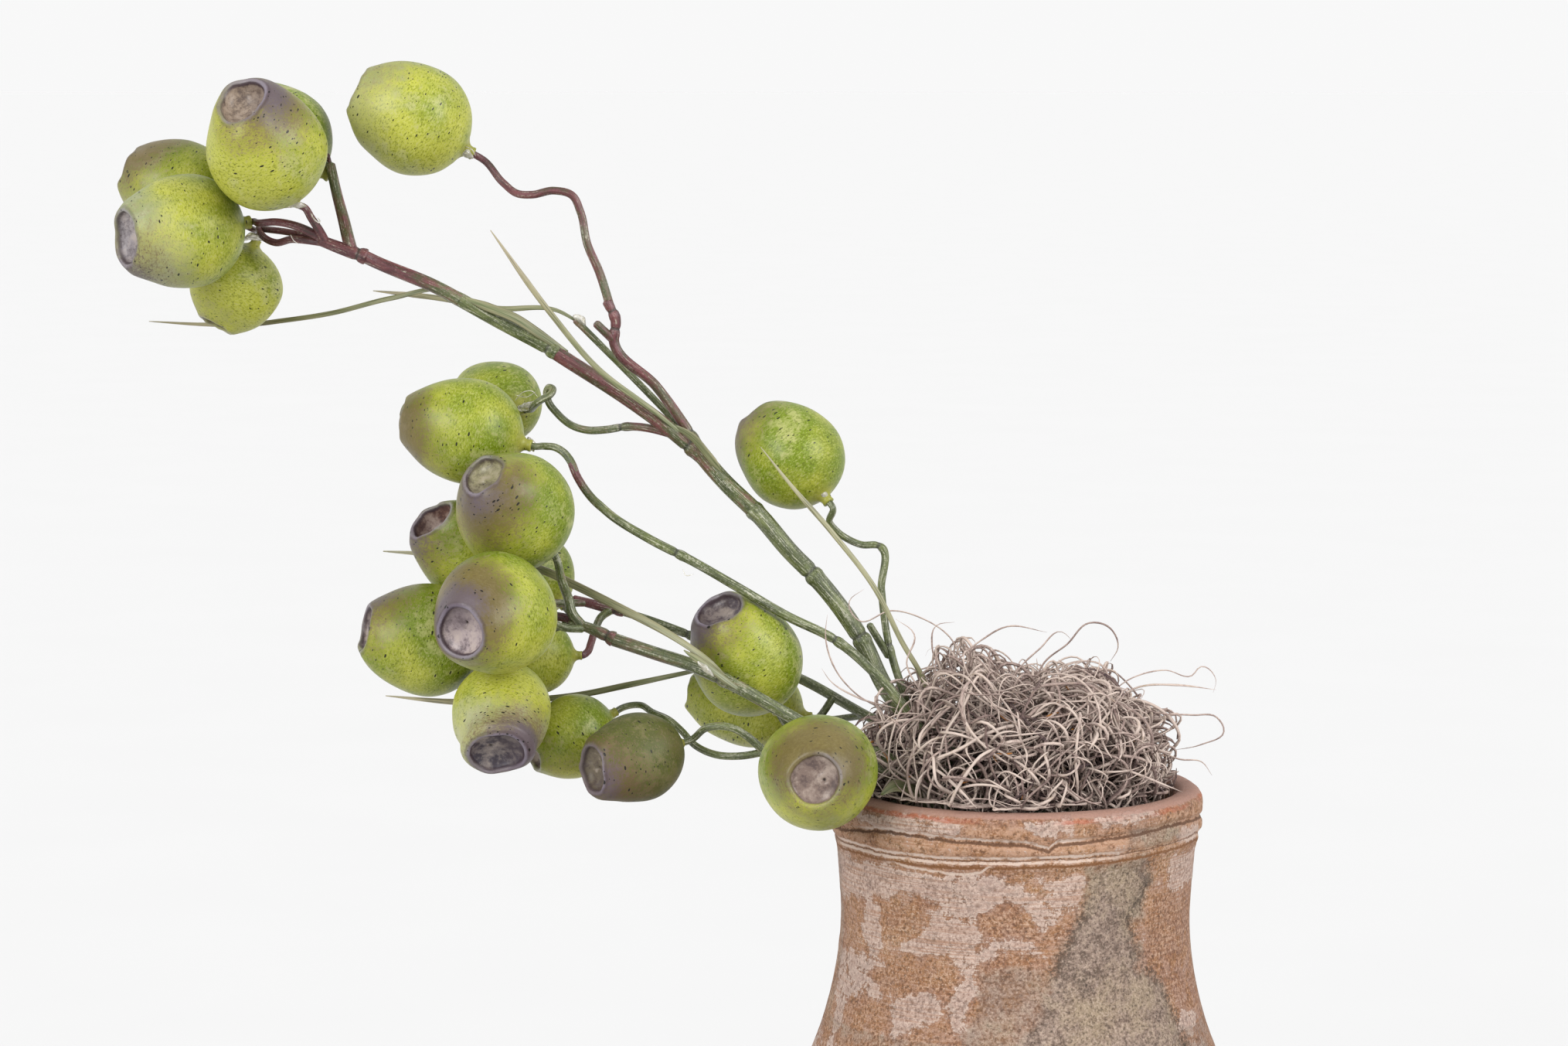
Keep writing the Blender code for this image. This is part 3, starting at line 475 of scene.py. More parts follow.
# Its edge is dotted rather than sharp, and darkest along the side where it dried last
damp = summed(stained, (blotches, 6.0), (mottle, 5.0), (sand, 2.5))
surface = coated(surface, (damp, 5.2, 8.6, 0.92, algae))
line = summed(cracked, (blotches, 5.0), (mottle, 4.0))
fringe = times(mapped(line, 8.2, 5.4, 0.0, 0.75), mapped(sand, 0.56, 0.46))
surface = laid(fringe, surface, "#473c33")
surface = coated(surface, (summed(cracked, (blotches, 3.2), (mottle, 3.0)), 3.6, 2.75, 0.85, "#352e27"))
# Grooves: chalky scale has dried in lines about 0.5 mm wide, with dirt in the cut beside each one. A line is the
# groove it follows, how much it trembles, its place and half width in mm, its colour, and where scale is left.
tremble = summed(-0.35, (blotches, 2.0), (sand, 0.7))
for groove, shake, middle, half, colour, left in (
    ("X", 0.7, -1.0 + 0.7, 0.34, "#4e3424", None),
    ("Y", 0.6, -0.35 + 0.6, 0.17, "#5c4232", None),
    ("Y", 0.7, -2.15 + 0.7, 0.40, "#6a4425", None),
    ("X", 1.0, 1.0, 0.36, "#c2b0a4", "X"),
    ("Y", 0.7, 0.50 + 0.7, 0.38, "#c2b0a4", "Y"),
    ("Y", 0.7, -0.90 + 0.7, 0.36, "#bba89b", "Y"),
    ("Z", 1.0, 1.0, 0.34, "#b9a699", "Z"),
):
    off = summed(grooved[groove], (tremble, shake))
    off = add(tree, "Math", {0: off, 1: middle}, operation="SUBTRACT")
    off = summed(add(tree, "Math", {0: off}, operation="ABSOLUTE"), (sand, 0.8))
    here = mapped(off, half + 0.52, half + 0.30, 0.0, 0.85)
    if left:
        here = times(times(here, scaled[left]), mapped(blotches, 0.38, 0.48, 0.3, 1.0))
    surface = laid(here, surface, colour)
# The lip is rubbed to the pink of bare clay, with a brick-red line where its outer edge has chipped
lip = summed(mapped(level, -0.0016, -0.0006, 0.0, 0.8), (blotches, 0.5), (sand, 0.4))
surface = coated(surface, (lip, 0.60, 0.95, 0.80, "#957468"))
chip = add(tree, "Math", {0: summed(level, (blotches, 0.003)), 1: -0.0004}, operation="SUBTRACT")
chip = add(tree, "Math", {0: chip}, operation="ABSOLUTE")
chip = times(mapped(chip, 0.0008, 0.0003), mapped(clouds, 0.42, 0.55))
surface = laid(times(chip, 0.55), surface, "#9c5038")
relief = summed(sand, (lime_here, 0.35), (brush, 0.5), (mottle, 0.5))
bump = add(tree, "Bump", {"Height": relief, "Strength": 0.7, "Distance": 0.0004})
dull = mapped(lime_here, 0.0, 1.0, 0.86, 0.96)
shader = add(tree, "BsdfPrincipled", {
    "Base Color": surface, "Roughness": dull, "IOR": 1.5, "Specular IOR Level": 0.3, "Normal": bump,
})
add(tree, "OutputMaterial", {"Surface": shader})

jar = new_piece("jar_body", form, terracotta)
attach(jar, "root")
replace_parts(jar, "jar")


# The foam plug. A block of dry florist's foam, cut to wedge in the jar's neck, which the wires are pushed into.
# Rigid open-cell foam: dull, with fine cells about 0.5 mm across that crumble where it is cut.
dry_foam, tree = new_finish("dry_floral_foam")
seat = add(tree, "TexCoord").outputs["Object"]
cells = add(tree, "TexVoronoi", {"Vector": seat, "Scale": 1600.0}).outputs["Distance"]
drift = add(tree, "TexNoise", {"Vector": seat, "Scale": 120.0, "Detail": 3.0})
tone = add(tree, "ValToRGB", {"Fac": cells}, stops=((0.15, "#2f3a28"), (0.55, "#57664a")))
tone = laid(drift, tone, "#4a4334")
bump = add(tree, "Bump", {"Height": cells, "Strength": 0.8, "Distance": 0.0004})
shader = add(tree, "BsdfPrincipled", {"Base Color": tone, "Roughness": 0.95, "IOR": 1.5, "Normal": bump})
add(tree, "OutputMaterial", {"Surface": shader})
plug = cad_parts["foam_plug"]
plug.data.materials.clear()
plug.data.materials.append(dry_foam)


# The sprays. Each is moulded in olive-green plastic over iron wire, with ribs along it, a ring where each joint
# of the mould ends, and burgundy sprayed on in patches. The stems are pushed down into the foam.
CALYX_LENGTH = 0.003
# Where each wire's pod sits: its middle, the way its mouth faces, its diameter and its length, in metres
PODS = (
    ((-0.2008, -0.016, 0.1731), (-0.33, -0.58, 0.75), 0.0315, 0.033),
    ((-0.2022, 0.016, 0.1750), (-0.82, 0.20, 0.53), 0.0300, 0.032),
    ((-0.1643, 0.012, 0.1809), (-0.85, -0.12, 0.51), 0.0305, 0.033),
    ((-0.2295, 0.026, 0.1604), (-0.89, -0.01, 0.46), 0.0285, 0.031),
    ((-0.2245, -0.004, 0.1507), (-0.87, -0.49, -0.11), 0.0310, 0.033),
    ((-0.2138, 0.0205, 0.1346), (-0.42, -0.10, -0.90), 0.0250, 0.024),
    ((-0.1432, 0.033, 0.1019), (-0.54, 0.84, 0.05), 0.0235, 0.028),
    ((-0.1504, 0.004, 0.0964), (-0.96, 0.16, 0.20), 0.0285, 0.033),
    ((-0.1356, -0.016, 0.0767), (-0.49, -0.59, 0.64), 0.0315, 0.033),
    ((-0.1487, 0.008, 0.0628), (-0.65, -0.43, 0.62), 0.0280, 0.032),
    ((-0.1346, 0.038, 0.0537), (-0.64, 0.53, 0.55), 0.0235, 0.027),
    ((-0.1396, -0.036, 0.0512), (-0.49, -0.86, -0.14), 0.0320, 0.033),
    ((-0.1606, -0.007, 0.0408), (-0.93, -0.24, 0.27), 0.0305, 0.033),
    ((-0.1388, -0.0215, 0.0222), (-0.05, -0.80, -0.60), 0.0262, 0.031),
    ((-0.1333, 0.010, 0.0339), (-1.00, 0.04, -0.01), 0.0215, 0.025),
    ((-0.1209, -0.002, 0.0131), (-0.80, -0.42, -0.42), 0.0225, 0.025),
    ((-0.1030, -0.028, 0.0117), (-0.75, -0.65, -0.14), 0.0235, 0.028),
    ((-0.0737, 0.002, 0.0346), (-0.46, -0.32, 0.83), 0.0300, 0.033),
    ((-0.0739, 0.030, 0.0181), (-0.97, 0.05, 0.22), 0.0245, 0.032),
    ((-0.0542, -0.042, 0.0100), (-0.01, -1.00, 0.06), 0.0310, 0.032),
    ((-0.0612, 0.014, 0.0888), (-0.58, 0.42, 0.70), 0.0283, 0.030),
)


def wire_end(number, straight=5):
    """A wire's last two points in mm: they run in line with its pod, into the pod's calyx."""
    middle, facing, _, length = PODS[number - 1]
    away = Vector(facing).normalized() * 1000
    end = Vector(middle) * 1000 - away * (length / 2 + CALYX_LENGTH / 2)
    return tuple(end - away * straight / 1000), tuple(end)


# Each wire of a spray: points in mm from the middle of the jar's mouth, radius in mm at its first and last
# point, where its moulded rings are (across and up, in mm), and how burgundy it is at its first and last point.
WIRES = {
    "tall": (
        (((8, 3, -46), (3, 3, -22), (-9.5, 3, -0.5), (-35.5, 3, 26), (-42, 4, 39), (-55.1, 4.5, 56.7),
          (-60.9, 5, 62.5), (-71.1, 5.5, 74.2), (-73, 5.6, 76)), 2.35, 2.35,
          ((-42, 39), (-55.1, 56.7), (-71.3, 74.4)), -0.15, 0.05),
        (((-71.6, 5.5, 74.6), (-79.4, 6, 82.1), (-88.3, 7, 92.5)), 2.32, 2.30, (), 0.30, 0.42),
        (((-84, 7, 87.5), (-95, 6, 97), (-126.5, 4, 118.5)), 2.1, 1.98, ((-88.2, 92),), 0.42, 0.62),
        (((-124.5, 4, 117.3), (-126.5, 4, 118.5), (-141.8, 3, 126.8), (-152, 1.6, 132.6), (-155, 1.1, 134.3)),
          1.98, 1.85, ((-125.9, 118.6),), -0.05, 0.30),
        (((-150.5, 1.8, 131.8), (-156, 1, 134.9), (-174.6, 0.5, 142.9), (-176.7, 0, 144)), 1.86, 1.75, (), 0.3, 0.95),
        (((-175.5, 0.2, 143.4), (-183.1, 0, 146.1), (-188.5, 0, 148.2)), 1.95, 1.45, ((-176.6, 144),), 1.0, 0.75),
        (((-85, 7, 89.5), (-98, 9, 108), (-109.5, 10, 120.5), (-109, 10, 126), (-111.5, 10, 131.5)), 1.5, 1.35,
         ((-88.5, 94.5), (-109.3, 122.5), (-109.4, 127.5)), 0.45, 0.70),
        (((-110.5, 10, 129.5), (-113.5, 11, 139), (-116.7, 11, 146.6), (-118.6, 12, 155.4), (-120.8, 12, 159.8),
          (-125.6, 12, 161.1), (-131.9, 12, 160), (-135.6, 12.2, 160.3), (-139.5, 12.5, 163.2), *wire_end(3)),
          1.2, 0.95, (), 0.45, 0.75),
        (((-109, 10, 120), (-114.5, 8, 125.5)), 1.2, 1.1, (), 0.60, 0.55),
        (((-89, 7, 93), (-95, 6.5, 95.5), (-106.3, 9, 97), (-111.8, 10, 96.1), (-117, 11, 95.9),
          (-121.4, 12, 97.2), (-125.2, 12, 100.4), (-127.7, 12, 104), (-128, 12, 106.4), (-127.2, 11, 107.6),
          (-126.2, 9.4, 106.9), (-127, 8.2, 105.7), (-129, 8, 104.6), *wire_end(7, 2.5)), 1.15, 0.95,
         ((-106.3, 97),), 0.62, -0.1),
        (((-86.5, 7.5, 91.5), (-97.5, 12, 103), (-120.5, 16, 126)), 1.0, 0.9, ((-119.8, 125.3),), 0.1, 0.35),
        (((-186.8, 0, 147.5), (-188, -1, 150.2), (-190.4, -3, 154.5), (-191.8, -4.2, 157), *wire_end(1, 2)), 1.3,
         0.85, (), 0.85, 0.55),
        (((-179.4, 0.2, 143.8), (-180.4, 1.2, 147), (-182.1, 4, 153), (-184.3, 7, 160.5), (-186.3, 10, 168.6)), 1.7,
          1.3, (), 0.55, 0.40),
        (((-186, 10, 167), (-186.9, 10, 171.2)), 0.6, 0.45, (), 0.9, 0.9),
        (((-186.9, 10, 168.2), (-190, 12.5, 169.5), *wire_end(2, 1.5)), 1.0, 0.85, (), 0.25, 0.20),
        (((-186.6, 0.5, 147.6), (-191.5, 4, 148.9), (-197.3, 8, 149.9), (-205.1, 14, 150.6), *wire_end(4)), 0.95,
         0.85, (), 0.80, 0.6),
        (((-186.3, 0, 147.7), (-190.5, 0, 150.2), (-194.8, 0, 152), (-200.1, 0, 153), (-204.6, 1, 152.7),
          *wire_end(5, 2)), 1.2, 0.9, (), 0.75, 0.75),
        (((-186.4, 1, 147.2), (-192, 3, 147.9), (-196.5, 5, 148.1), (-200.9, 8, 147.1), (-204.1, 10.5, 148.2),
          (-206.2, 14, 150.3), (-206.6, 17, 151), *wire_end(6, 2)), 1.05, 0.9, (), 0.9, 0.9),
    ),
    "middle": (
        (((-7, -6, -44), (-12, -6, -20), (-20, -6, 6), (-31, -5, 22.5), (-38.7, -3, 31), (-48, -2, 39),
          (-63, -4, 47), (-76.3, -6, 55.1), (-87.5, -6, 61.6), (-100, -5, 68), (-109.5, -3, 73.6),
          (-114.6, -2, 77.9)), 1.5, 1.15, ((-48.4, 39.1), (-90.9, 63.7)), -0.05, 0.12),
        (((-112.5, -2.4, 76), (-114.6, -2, 77.9), (-117.5, -1, 81.4), (-119.6, 0, 84.9), (-121, 1, 88.2)), 1.16,
          1.10, (), 0.25, 0.80),
        (((-119.6, 0, 84.9), (-121, 1, 88.2), (-123, 2, 90.6), (-125.4, 3, 91.9), (-128.2, 4, 92.1),
          *wire_end(8, 2)), 1.1, 0.95, (), 0.45, -0.05),
    ),
    "short": (
        (((-19, 7, -44), (-20, 7, -20), (-24, 7, 5), (-30.3, 8, 23.4), (-34.7, 10, 38.2), (-36.5, 11, 52),
          (-37.2, 12, 64), (-41.9, 12, 64.3), (-45.8, 11, 66), (-48.9, 9.5, 68.4), (-50.8, 8, 71), *wire_end(21, 3)),
         1.4, 0.9, ((-33.9, 35.5), (-37.2, 62.5)), 0.15, 0.0),
        (((-34.3, 10, 33.5), (-40, 8, 43)), 1.1, 1.0, (), 0.05, 0.0),
    ),
    "low_front": (
        (((-14, -13, -44), (-17, -13, -20), (-23.2, -12, 2), (-30.3, -12, 6), (-39.1, -13, 11), (-53.9, -15, 16.6),
          (-61.8, -16, 21.2), (-79.1, -17, 30.9), (-88, -15, 34.7), (-98.3, -13, 37.8), (-109.8, -11, 41.4)),
          1.9, 1.75, ((-79.5, 31),), -0.1, 0.42),
        (((-108.8, -11.2, 41.1), (-114.4, -10, 43.6), (-119.6, -9, 45.1), (-121.5, -9, 45.2)), 1.85, 1.1,
         ((-109.8, 41.4),), 0.5, 0.3),
        (((-117.5, -9.2, 44.4), (-120.3, -9, 48), (-121.4, -8, 52), (-123.1, -6, 56), *wire_end(9, 3)), 1.45, 0.95,
         (), 0.35, 0.2),
        (((-117.2, -9.6, 43.9), (-122.4, -12, 44.6), (-126, -15, 47), *wire_end(12, 3)), 1.1, 0.9, (), 0.0, 0.1),
        (((-118.5, -9, 45), (-122.8, -7, 46.6), (-131, -3, 45.5), *wire_end(13, 4)), 1.3, 0.9, (), 0.8, 0.8),
        (((-121, -8, 45.2), (-128, -7, 42.5), *wire_end(14, 3)), 1.0, 0.9, (), 0.2, 0.2),
    ),
    "low_back": (
        (((0, 16, -44), (-2, 17, -20), (-6.1, 18, -3), (-27.8, 18, 9.7), (-40.6, 19, 16.1), (-58.4, 20.5, 25.9),
          (-74, 21.5, 32.1), (-88.8, 20.5, 38), (-102, 20.2, 43), (-108.5, 20, 45)), 1.6, 1.15,
         ((-88.8, 38),), 0.0, 0.2),
        (((-107.2, 20.2, 44.9), (-110.5, 20.5, 45.3), (-115.7, 20.5, 46.7), (-121.8, 21, 48.2)), 1.45, 1.2,
         ((-108.6, 45),), 0.6, 0.75),
        (((-118, 20.5, 47.2), (-126, 17.8, 47.5), *wire_end(10)), 1.1, 0.9, (), 0.5, 0.3),
        (((-118, 20.5, 47.2), (-122, 22, 46.8), *wire_end(11, 4)), 1.1, 0.9, (), 0.3, 0.2),
        (((-111, 20, 45.3), (-113.6, 19, 43.6), (-115.4, 16, 40), (-116.4, 13, 36.8), (-117.2, 11, 34.8),
          *wire_end(15, 0.5)), 1.15, 1.0, (), 0.2, 1.0),
        (((-49.5, 19.5, 21), (-54, 16, 15.5), (-61.5, 10.5, 13.5), *wire_end(18)), 1.1, 0.9, (), 0.1, 0.1),
        (((-40.6, 19, 16.1), (-46, 24.5, 14.5), (-51, 28, 13.5), *wire_end(19, 3)), 1.1, 0.9, (), 0.1, 0.1),
    ),
    "rim": (
        (((-12, -22, -40), (-15, -21, -20), (-20.5, -19.5, -2.5), (-29.2, -18, 2.1), (-38, -17.5, 7.1),
          (-53.8, -15.5, 9.6), (-70, -18, 11.8)), 1.4, 1.2, ((-45, 8.5),), 0.55, 0.0),
        (((-68.5, -17.8, 11.6), (-72.8, -19, 15.8), (-77, -20, 18.5), (-83.5, -19, 18.5), *wire_end(17, 4)), 1.1,
         0.9, (), 0.3, 0.05),
        (((-68.5, -17.8, 11.6), (-75, -17.5, 10.5), (-81.7, -15, 10.5), (-87.5, -11.5, 12.7), (-90.5, -8.5, 15.5),
          (-94, -4.5, 18), (-99, 1, 19.5), (-103, 5, 21), *wire_end(16, 3)), 1.0, 0.9, (), 0.0, 0.1),
        (((-53.8, -15.5, 9.6), *wire_end(20)), 1.0, 0.9, (), 0.0, 0.1),
    ),
}


def sweep(form, route, radius_at, sides, start_side, roll=None, **marks):
    """Adds a tube or blade along a route to form. radius_at gives the two half widths at a length and an angle.

    With a roll, the blade's flat stays turned by that angle from the side that the photograph is taken from.
    """
    side = Vector(start_side)
    along = 0.0
    for number, spot in enumerate(route):
        if number:
            along += (spot - route[number - 1]).length
        ahead = route[min(number + 1, len(route) - 1)] - route[max(number - 1, 0)]
        ahead.normalize()
        if roll is not None:
            side = Matrix.Rotation(roll, 3, ahead) @ ahead.cross(Vector((0, 1, 0)))
        side = (side - ahead * side.dot(ahead)).normalized()
        up = ahead.cross(side)
        for step in range(sides):
            angle = math.tau * step / sides
            wide, thick = radius_at(along, angle)
            offset = side * (wide * math.cos(angle)) + up * (thick * math.sin(angle))
            form["points"].append(spot + offset)
            form["grain"].append((along, wide * math.cos(angle), thick * math.sin(angle)))
            for mark, value in marks.items():
                form[mark].append(value(along) if callable(value) else value)
    form["faces"] += ringed(len(form["points"]) - len(route) * sides, len(route), sides)


def length_of(route):
    """How long a route is."""
    return sum((b - a).length for a, b in zip(route, route[1:]))


def above_mouth(points):
    """Points in mm from the middle of the mouth, as points in metres in the jar's frame."""
    return [Vector(point) / 1000 + MOUTH for point in points]


# Moulded polythene, painted: a satin gloss (IOR 1.5, roughness 0.2 to 0.45) that catches light along the ribs.
# Green and burgundy are sprayed over each other in streaks 9 mm long. In lines 0.3 mm wide that follow the ribs, the
# grooves are painted darker as painted shade and the ridges paler, partly whitish wax and partly painted highlight.
stem_plastic, tree = new_finish("painted_moulded_plastic")
grain = add(tree, "Attribute", attribute_name="grain").outputs["Vector"]
wine, joint = (add(tree, "Attribute", attribute_name=mark).outputs["Fac"] for mark in ("wine", "joint"))
along = add(tree, "Mapping", {"Vector": grain, "Scale": (110.0, 420.0, 420.0)})
streaks = add(tree, "TexNoise", {"Vector": along, "Scale": 1.0, "Detail": 4.0, "Roughness": 0.65})
along = add(tree, "Mapping", {"Vector": grain, "Scale": (160.0, 3800.0, 3800.0)})
lines = add(tree, "TexNoise", {"Vector": along, "Scale": 1.0, "Detail": 3.0, "Roughness": 0.6})
flecks = add(tree, "TexNoise", {"Vector": grain, "Scale": 1500.0, "Detail": 2.0, "Roughness": 0.7})
green = add(tree, "ValToRGB", {"Fac": streaks}, stops=(
    (0.30, "#33391f"), (0.46, "#474f2a"), (0.58, "#5a6236"), (0.72, "#757850"),
))
burgundy = add(tree, "ValToRGB", {"Fac": streaks}, stops=((0.32, "#30141a"), (0.50, "#53202b"), (0.68, "#6c393f")))
sprayed = mapped(summed(wine, (streaks, 1.3), (flecks, 0.3)), 1.12, 1.42, 0.0, 0.92)
surface = coated(
    laid(sprayed, green, burgundy),
    # Painted shade in the rib grooves, then a painted highlight with some whitish wax on the ridges
    (lines, 0.45, 0.34, 0.6, "#25251b"),
    (summed(lines, (flecks, 0.5), (sprayed, -0.07)), 0.78, 0.94, 0.78, "#adab98"),
    (joint, 0.2, 0.9, 0.8, "#22221a"),
)
rough = mapped(flecks, 0.3, 0.7, 0.22, 0.44)
bump = add(tree, "Bump", {"Height": summed(lines, (flecks, 0.4)), "Strength": 0.7, "Distance": 0.0003})
shader = add(tree, "BsdfPrincipled", {"Base Color": surface, "Roughness": rough, "IOR": 1.5, "Normal": bump})
add(tree, "OutputMaterial", {"Surface": shader})

STEM_STEP = 0.00045
STEM_SIDES = 20
# Which way the first point of each ring of a stem or bead looks
STEM_FACING = (0.3, -1, 0.2)
# The neck in the mould just past each ring: how far past it is and its half width, in metres
NECK_PAST = 0.0014
NECK_HALF = 0.0005
stem_draw = random.Random(5)
for spray, wires in WIRES.items():
    form = defaultdict(list)
    for points, first, last, rings, wine_first, wine_last in wires:
        route = smooth_through(above_mouth(points), STEM_STEP)
        length = length_of(route)
        ring_lengths = []
        for x, z in rings:
            gaps = [math.hypot(spot.x * 1000 - x, (spot.z - JAR_HEIGHT) * 1000 - z) for spot in route]
            ring_lengths.append(length_of(route[: gaps.index(min(gaps)) + 1]))
        ribs, twist, shift = stem_draw.choice((5, 6)), stem_draw.uniform(-30, 30), stem_draw.uniform(0, 50)

        def ribbed(along, angle):
            """The stem's radius: it tapers, with ridges, a collar and a neck at each ring, and soft lumps."""
            radius = (first + (last - first) * along / length) / 1000
            share = 0.10 * (1 - abs(math.sin(ribs * angle / 2 + twist * along))) - 0.04
            share += 0.05 * noise.noise(Vector((along * 70, shift, 0))) + 0.02 * math.cos(3 * angle + shift)
            for ring in ring_lengths:
                gap = along - ring
                share += 0.13 * bell(gap, 0.0012) + (0.05 * math.exp(gap / 0.005) if gap < 0 else 0)
                share -= 0.17 * bell(gap - NECK_PAST, NECK_HALF)
            # Its ends are rounded off
            blunt = min(1.0, 0.70 + along / 0.0012, 0.60 + (length - along) / 0.0012)
            return (radius * (1 + share) * blunt,) * 2

        def joint_at(along):
            """1 in the neck past a ring, where paint hasn't reached."""
            return max((bell(along - ring - NECK_PAST, NECK_HALF) for ring in ring_lengths), default=0.0)

        def burgundy_at(along):
            """How burgundy the wire is at a length."""
            return wine_first + (wine_last - wine_first) * along / length

        sweep(form, route, ribbed, STEM_SIDES, STEM_FACING, wine=burgundy_at, joint=joint_at)
    stems = new_piece(f"stems_{spray}", form, stem_plastic)
    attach(stems, "root")
    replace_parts(stems, f"spray_{spray}")


# The leaves. Slender eucalyptus needles moulded on the stems in soft plastic, about 2 mm wide, creased along the
# middle, and one short broad leaf that bends down to the rim. A leaf is points in mm, half width and half
# thickness in mm, how pale it is, and how far its flat is turned from the viewer in degrees.
LEAVES = {
    "leaf_upright": (((-87, 6.5, 92), (-97.5, 3, 101), (-113.5, 0, 113.5), (-126, -2, 128.5), (-142, -4, 151)),
                     0.80, 0.30, 0.08, 15),
    "leaf_stalk": (((-120, 16, 125.5), (-124.5, 16, 128), (-141.5, 14, 129), (-158, 12, 132), (-175, 10, 134)),
                   0.80, 0.34, 0.15, 25),
    "leaf_drooping": (((-139, 3, 126), (-154, 4, 134.5), (-170, 10, 132), (-187, 18, 127.5), (-201, 26, 125),
                       (-212, 32, 123.5), (-223.5, 32, 123.5), (-239, 30, 124.5)), 0.74, 0.30, 0.20, 25),
    "leaf_short_spray": (((-24, 7.2, 4), (-23.2, 7.8, 15), (-23.2, 5, 21.5), (-25.2, 1, 28.5), (-31.2, -2, 39.4),
                          (-38.6, -4, 54.2), (-50.2, -6, 69.6), (-61.6, -8, 83), (-69.5, -8, 93)),
                         0.75, 0.30, 0.80, 20),
    "leaf_front_upper": (((-78, -17, 30.5), (-83.4, -20, 36.6), (-88.6, -18, 40.1), (-109.5, -5, 50),
                          (-121, 4, 54.5), (-128, 11, 56.9), (-134, 19.5, 57.5), (-142, 25, 58), (-150, 27, 59),
                          (-166, 27, 60.3), (-174.6, 28, 60.7)), 1.15, 0.34, 0.62, 15),
    "leaf_front_lower": (((-86.5, -16, 33.5), (-90.3, -8, 31.6), (-105.8, 0, 27.2), (-121, 8, 23.1),
                          (-138, 11, 21.2), (-153.2, 14, 20.5), (-173.2, 16, 21.9)), 0.90, 0.34, 0.15, 25),
    "leaf_rim": (((-19, -20.3, -8), (-24, -23.5, -2), (-28.5, -27, 2.5), (-33.5, -31, 4.5), (-37.5, -34.5, 2.8)),
                 2.2, 0.40, -0.1, 50),
    "leaf_fork": (((-122, 4, 117.5), (-129, 2.2, 122.5), (-136, 1.2, 127.2), (-143.5, 0.8, 130.2), (-150, 1, 132.8)),
                  1.30, 0.40, -0.2, 20),
    "leaf_branch_foot": (((-93, 5, 97.5), (-88.5, 4, 95), (-84, 3.5, 90), (-80, 3, 85)), 1.25, 0.45, -0.1, 30),
    "leaf_clasping": (((-75, -19, 28.5), (-79, -20.5, 31.5), (-84, -21, 35.5), (-90, -20, 39.5)), 1.0, 0.5, -0.1, 30),
}

# Soft moulded plastic, matt to satin (roughness 0.45): grey-green where it leaves the stem, olive along the
# middle and dry yellow-grey at the tip, with veins about 0.3 mm apart.
leaf_plastic, tree = new_finish("soft_leaf_plastic")
grain = add(tree, "Attribute", attribute_name="grain").outputs["Vector"]
tip, pale = (add(tree, "Attribute", attribute_name=mark).outputs["Fac"] for mark in ("tip", "pale"))
along = add(tree, "Mapping", {"Vector": grain, "Scale": (90.0, 3000.0, 800.0)})
veins = add(tree, "TexNoise", {"Vector": along, "Scale": 1.0, "Detail": 3.0})
patches = add(tree, "TexNoise", {"Vector": grain, "Scale": 240.0, "Detail": 3.0})
tone = add(tree, "ValToRGB", {"Fac": summed(tip, (patches, 0.3))}, stops=(
    (0.1, "#41502f"), (0.4, "#535c34"), (0.7, "#636640"), (0.9, "#7d7758"), (1.0, "#8c826a"),
))
across = add(tree, "Math", {0: add(tree, "SeparateXYZ", {0: grain}).outputs["Y"]}, operation="ABSOLUTE")
tone = coated(
    laid(pale, tone, "#868463"),
    (veins, 0.42, 0.64, 0.5, "#918c70"),
    (veins, 0.46, 0.34, 0.7, "#353a26"),
    (across, 0.0004, 0.0008, 0.40, "#7f755a"),
)
bump = add(tree, "Bump", {"Height": veins, "Strength": 0.3, "Distance": 0.0002})
shader = add(tree, "BsdfPrincipled", {"Base Color": tone, "Roughness": 0.45, "IOR": 1.5, "Normal": bump})
add(tree, "OutputMaterial", {"Surface": shader})

LEAF_STEP = 0.0012
LEAF_SIDES = 12
for leaf, (points, wide, thick, paleness, turned) in LEAVES.items():
    form = defaultdict(list)
    route = smooth_through(above_mouth(points), LEAF_STEP)
    length = length_of(route)

    def bladed(along, angle):
        """The leaf's half widths: narrow at its foot, fullest past the middle, drawn out to a fine tip."""
        t = along / length
        full = min(0.55 + 1.6 * t, 1.0) * min(1.0, (1.02 - t) * 4.5) ** 0.8
        crease = 1 - 0.35 * abs(math.sin(angle)) ** 6
        return wide / 1000 * full, thick / 1000 * max(0.25, full) * crease

    # The short dark leaves are green to the tip
    dry = 0.3 if paleness < 0 else 1.0
    sweep(
        form, route, bladed, LEAF_SIDES, (1, 0, 0), math.radians(turned),
        tip=lambda along: dry * along / length, pale=paleness,
    )
    blade = new_piece(leaf, form, leaf_plastic)
    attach(blade, "root")


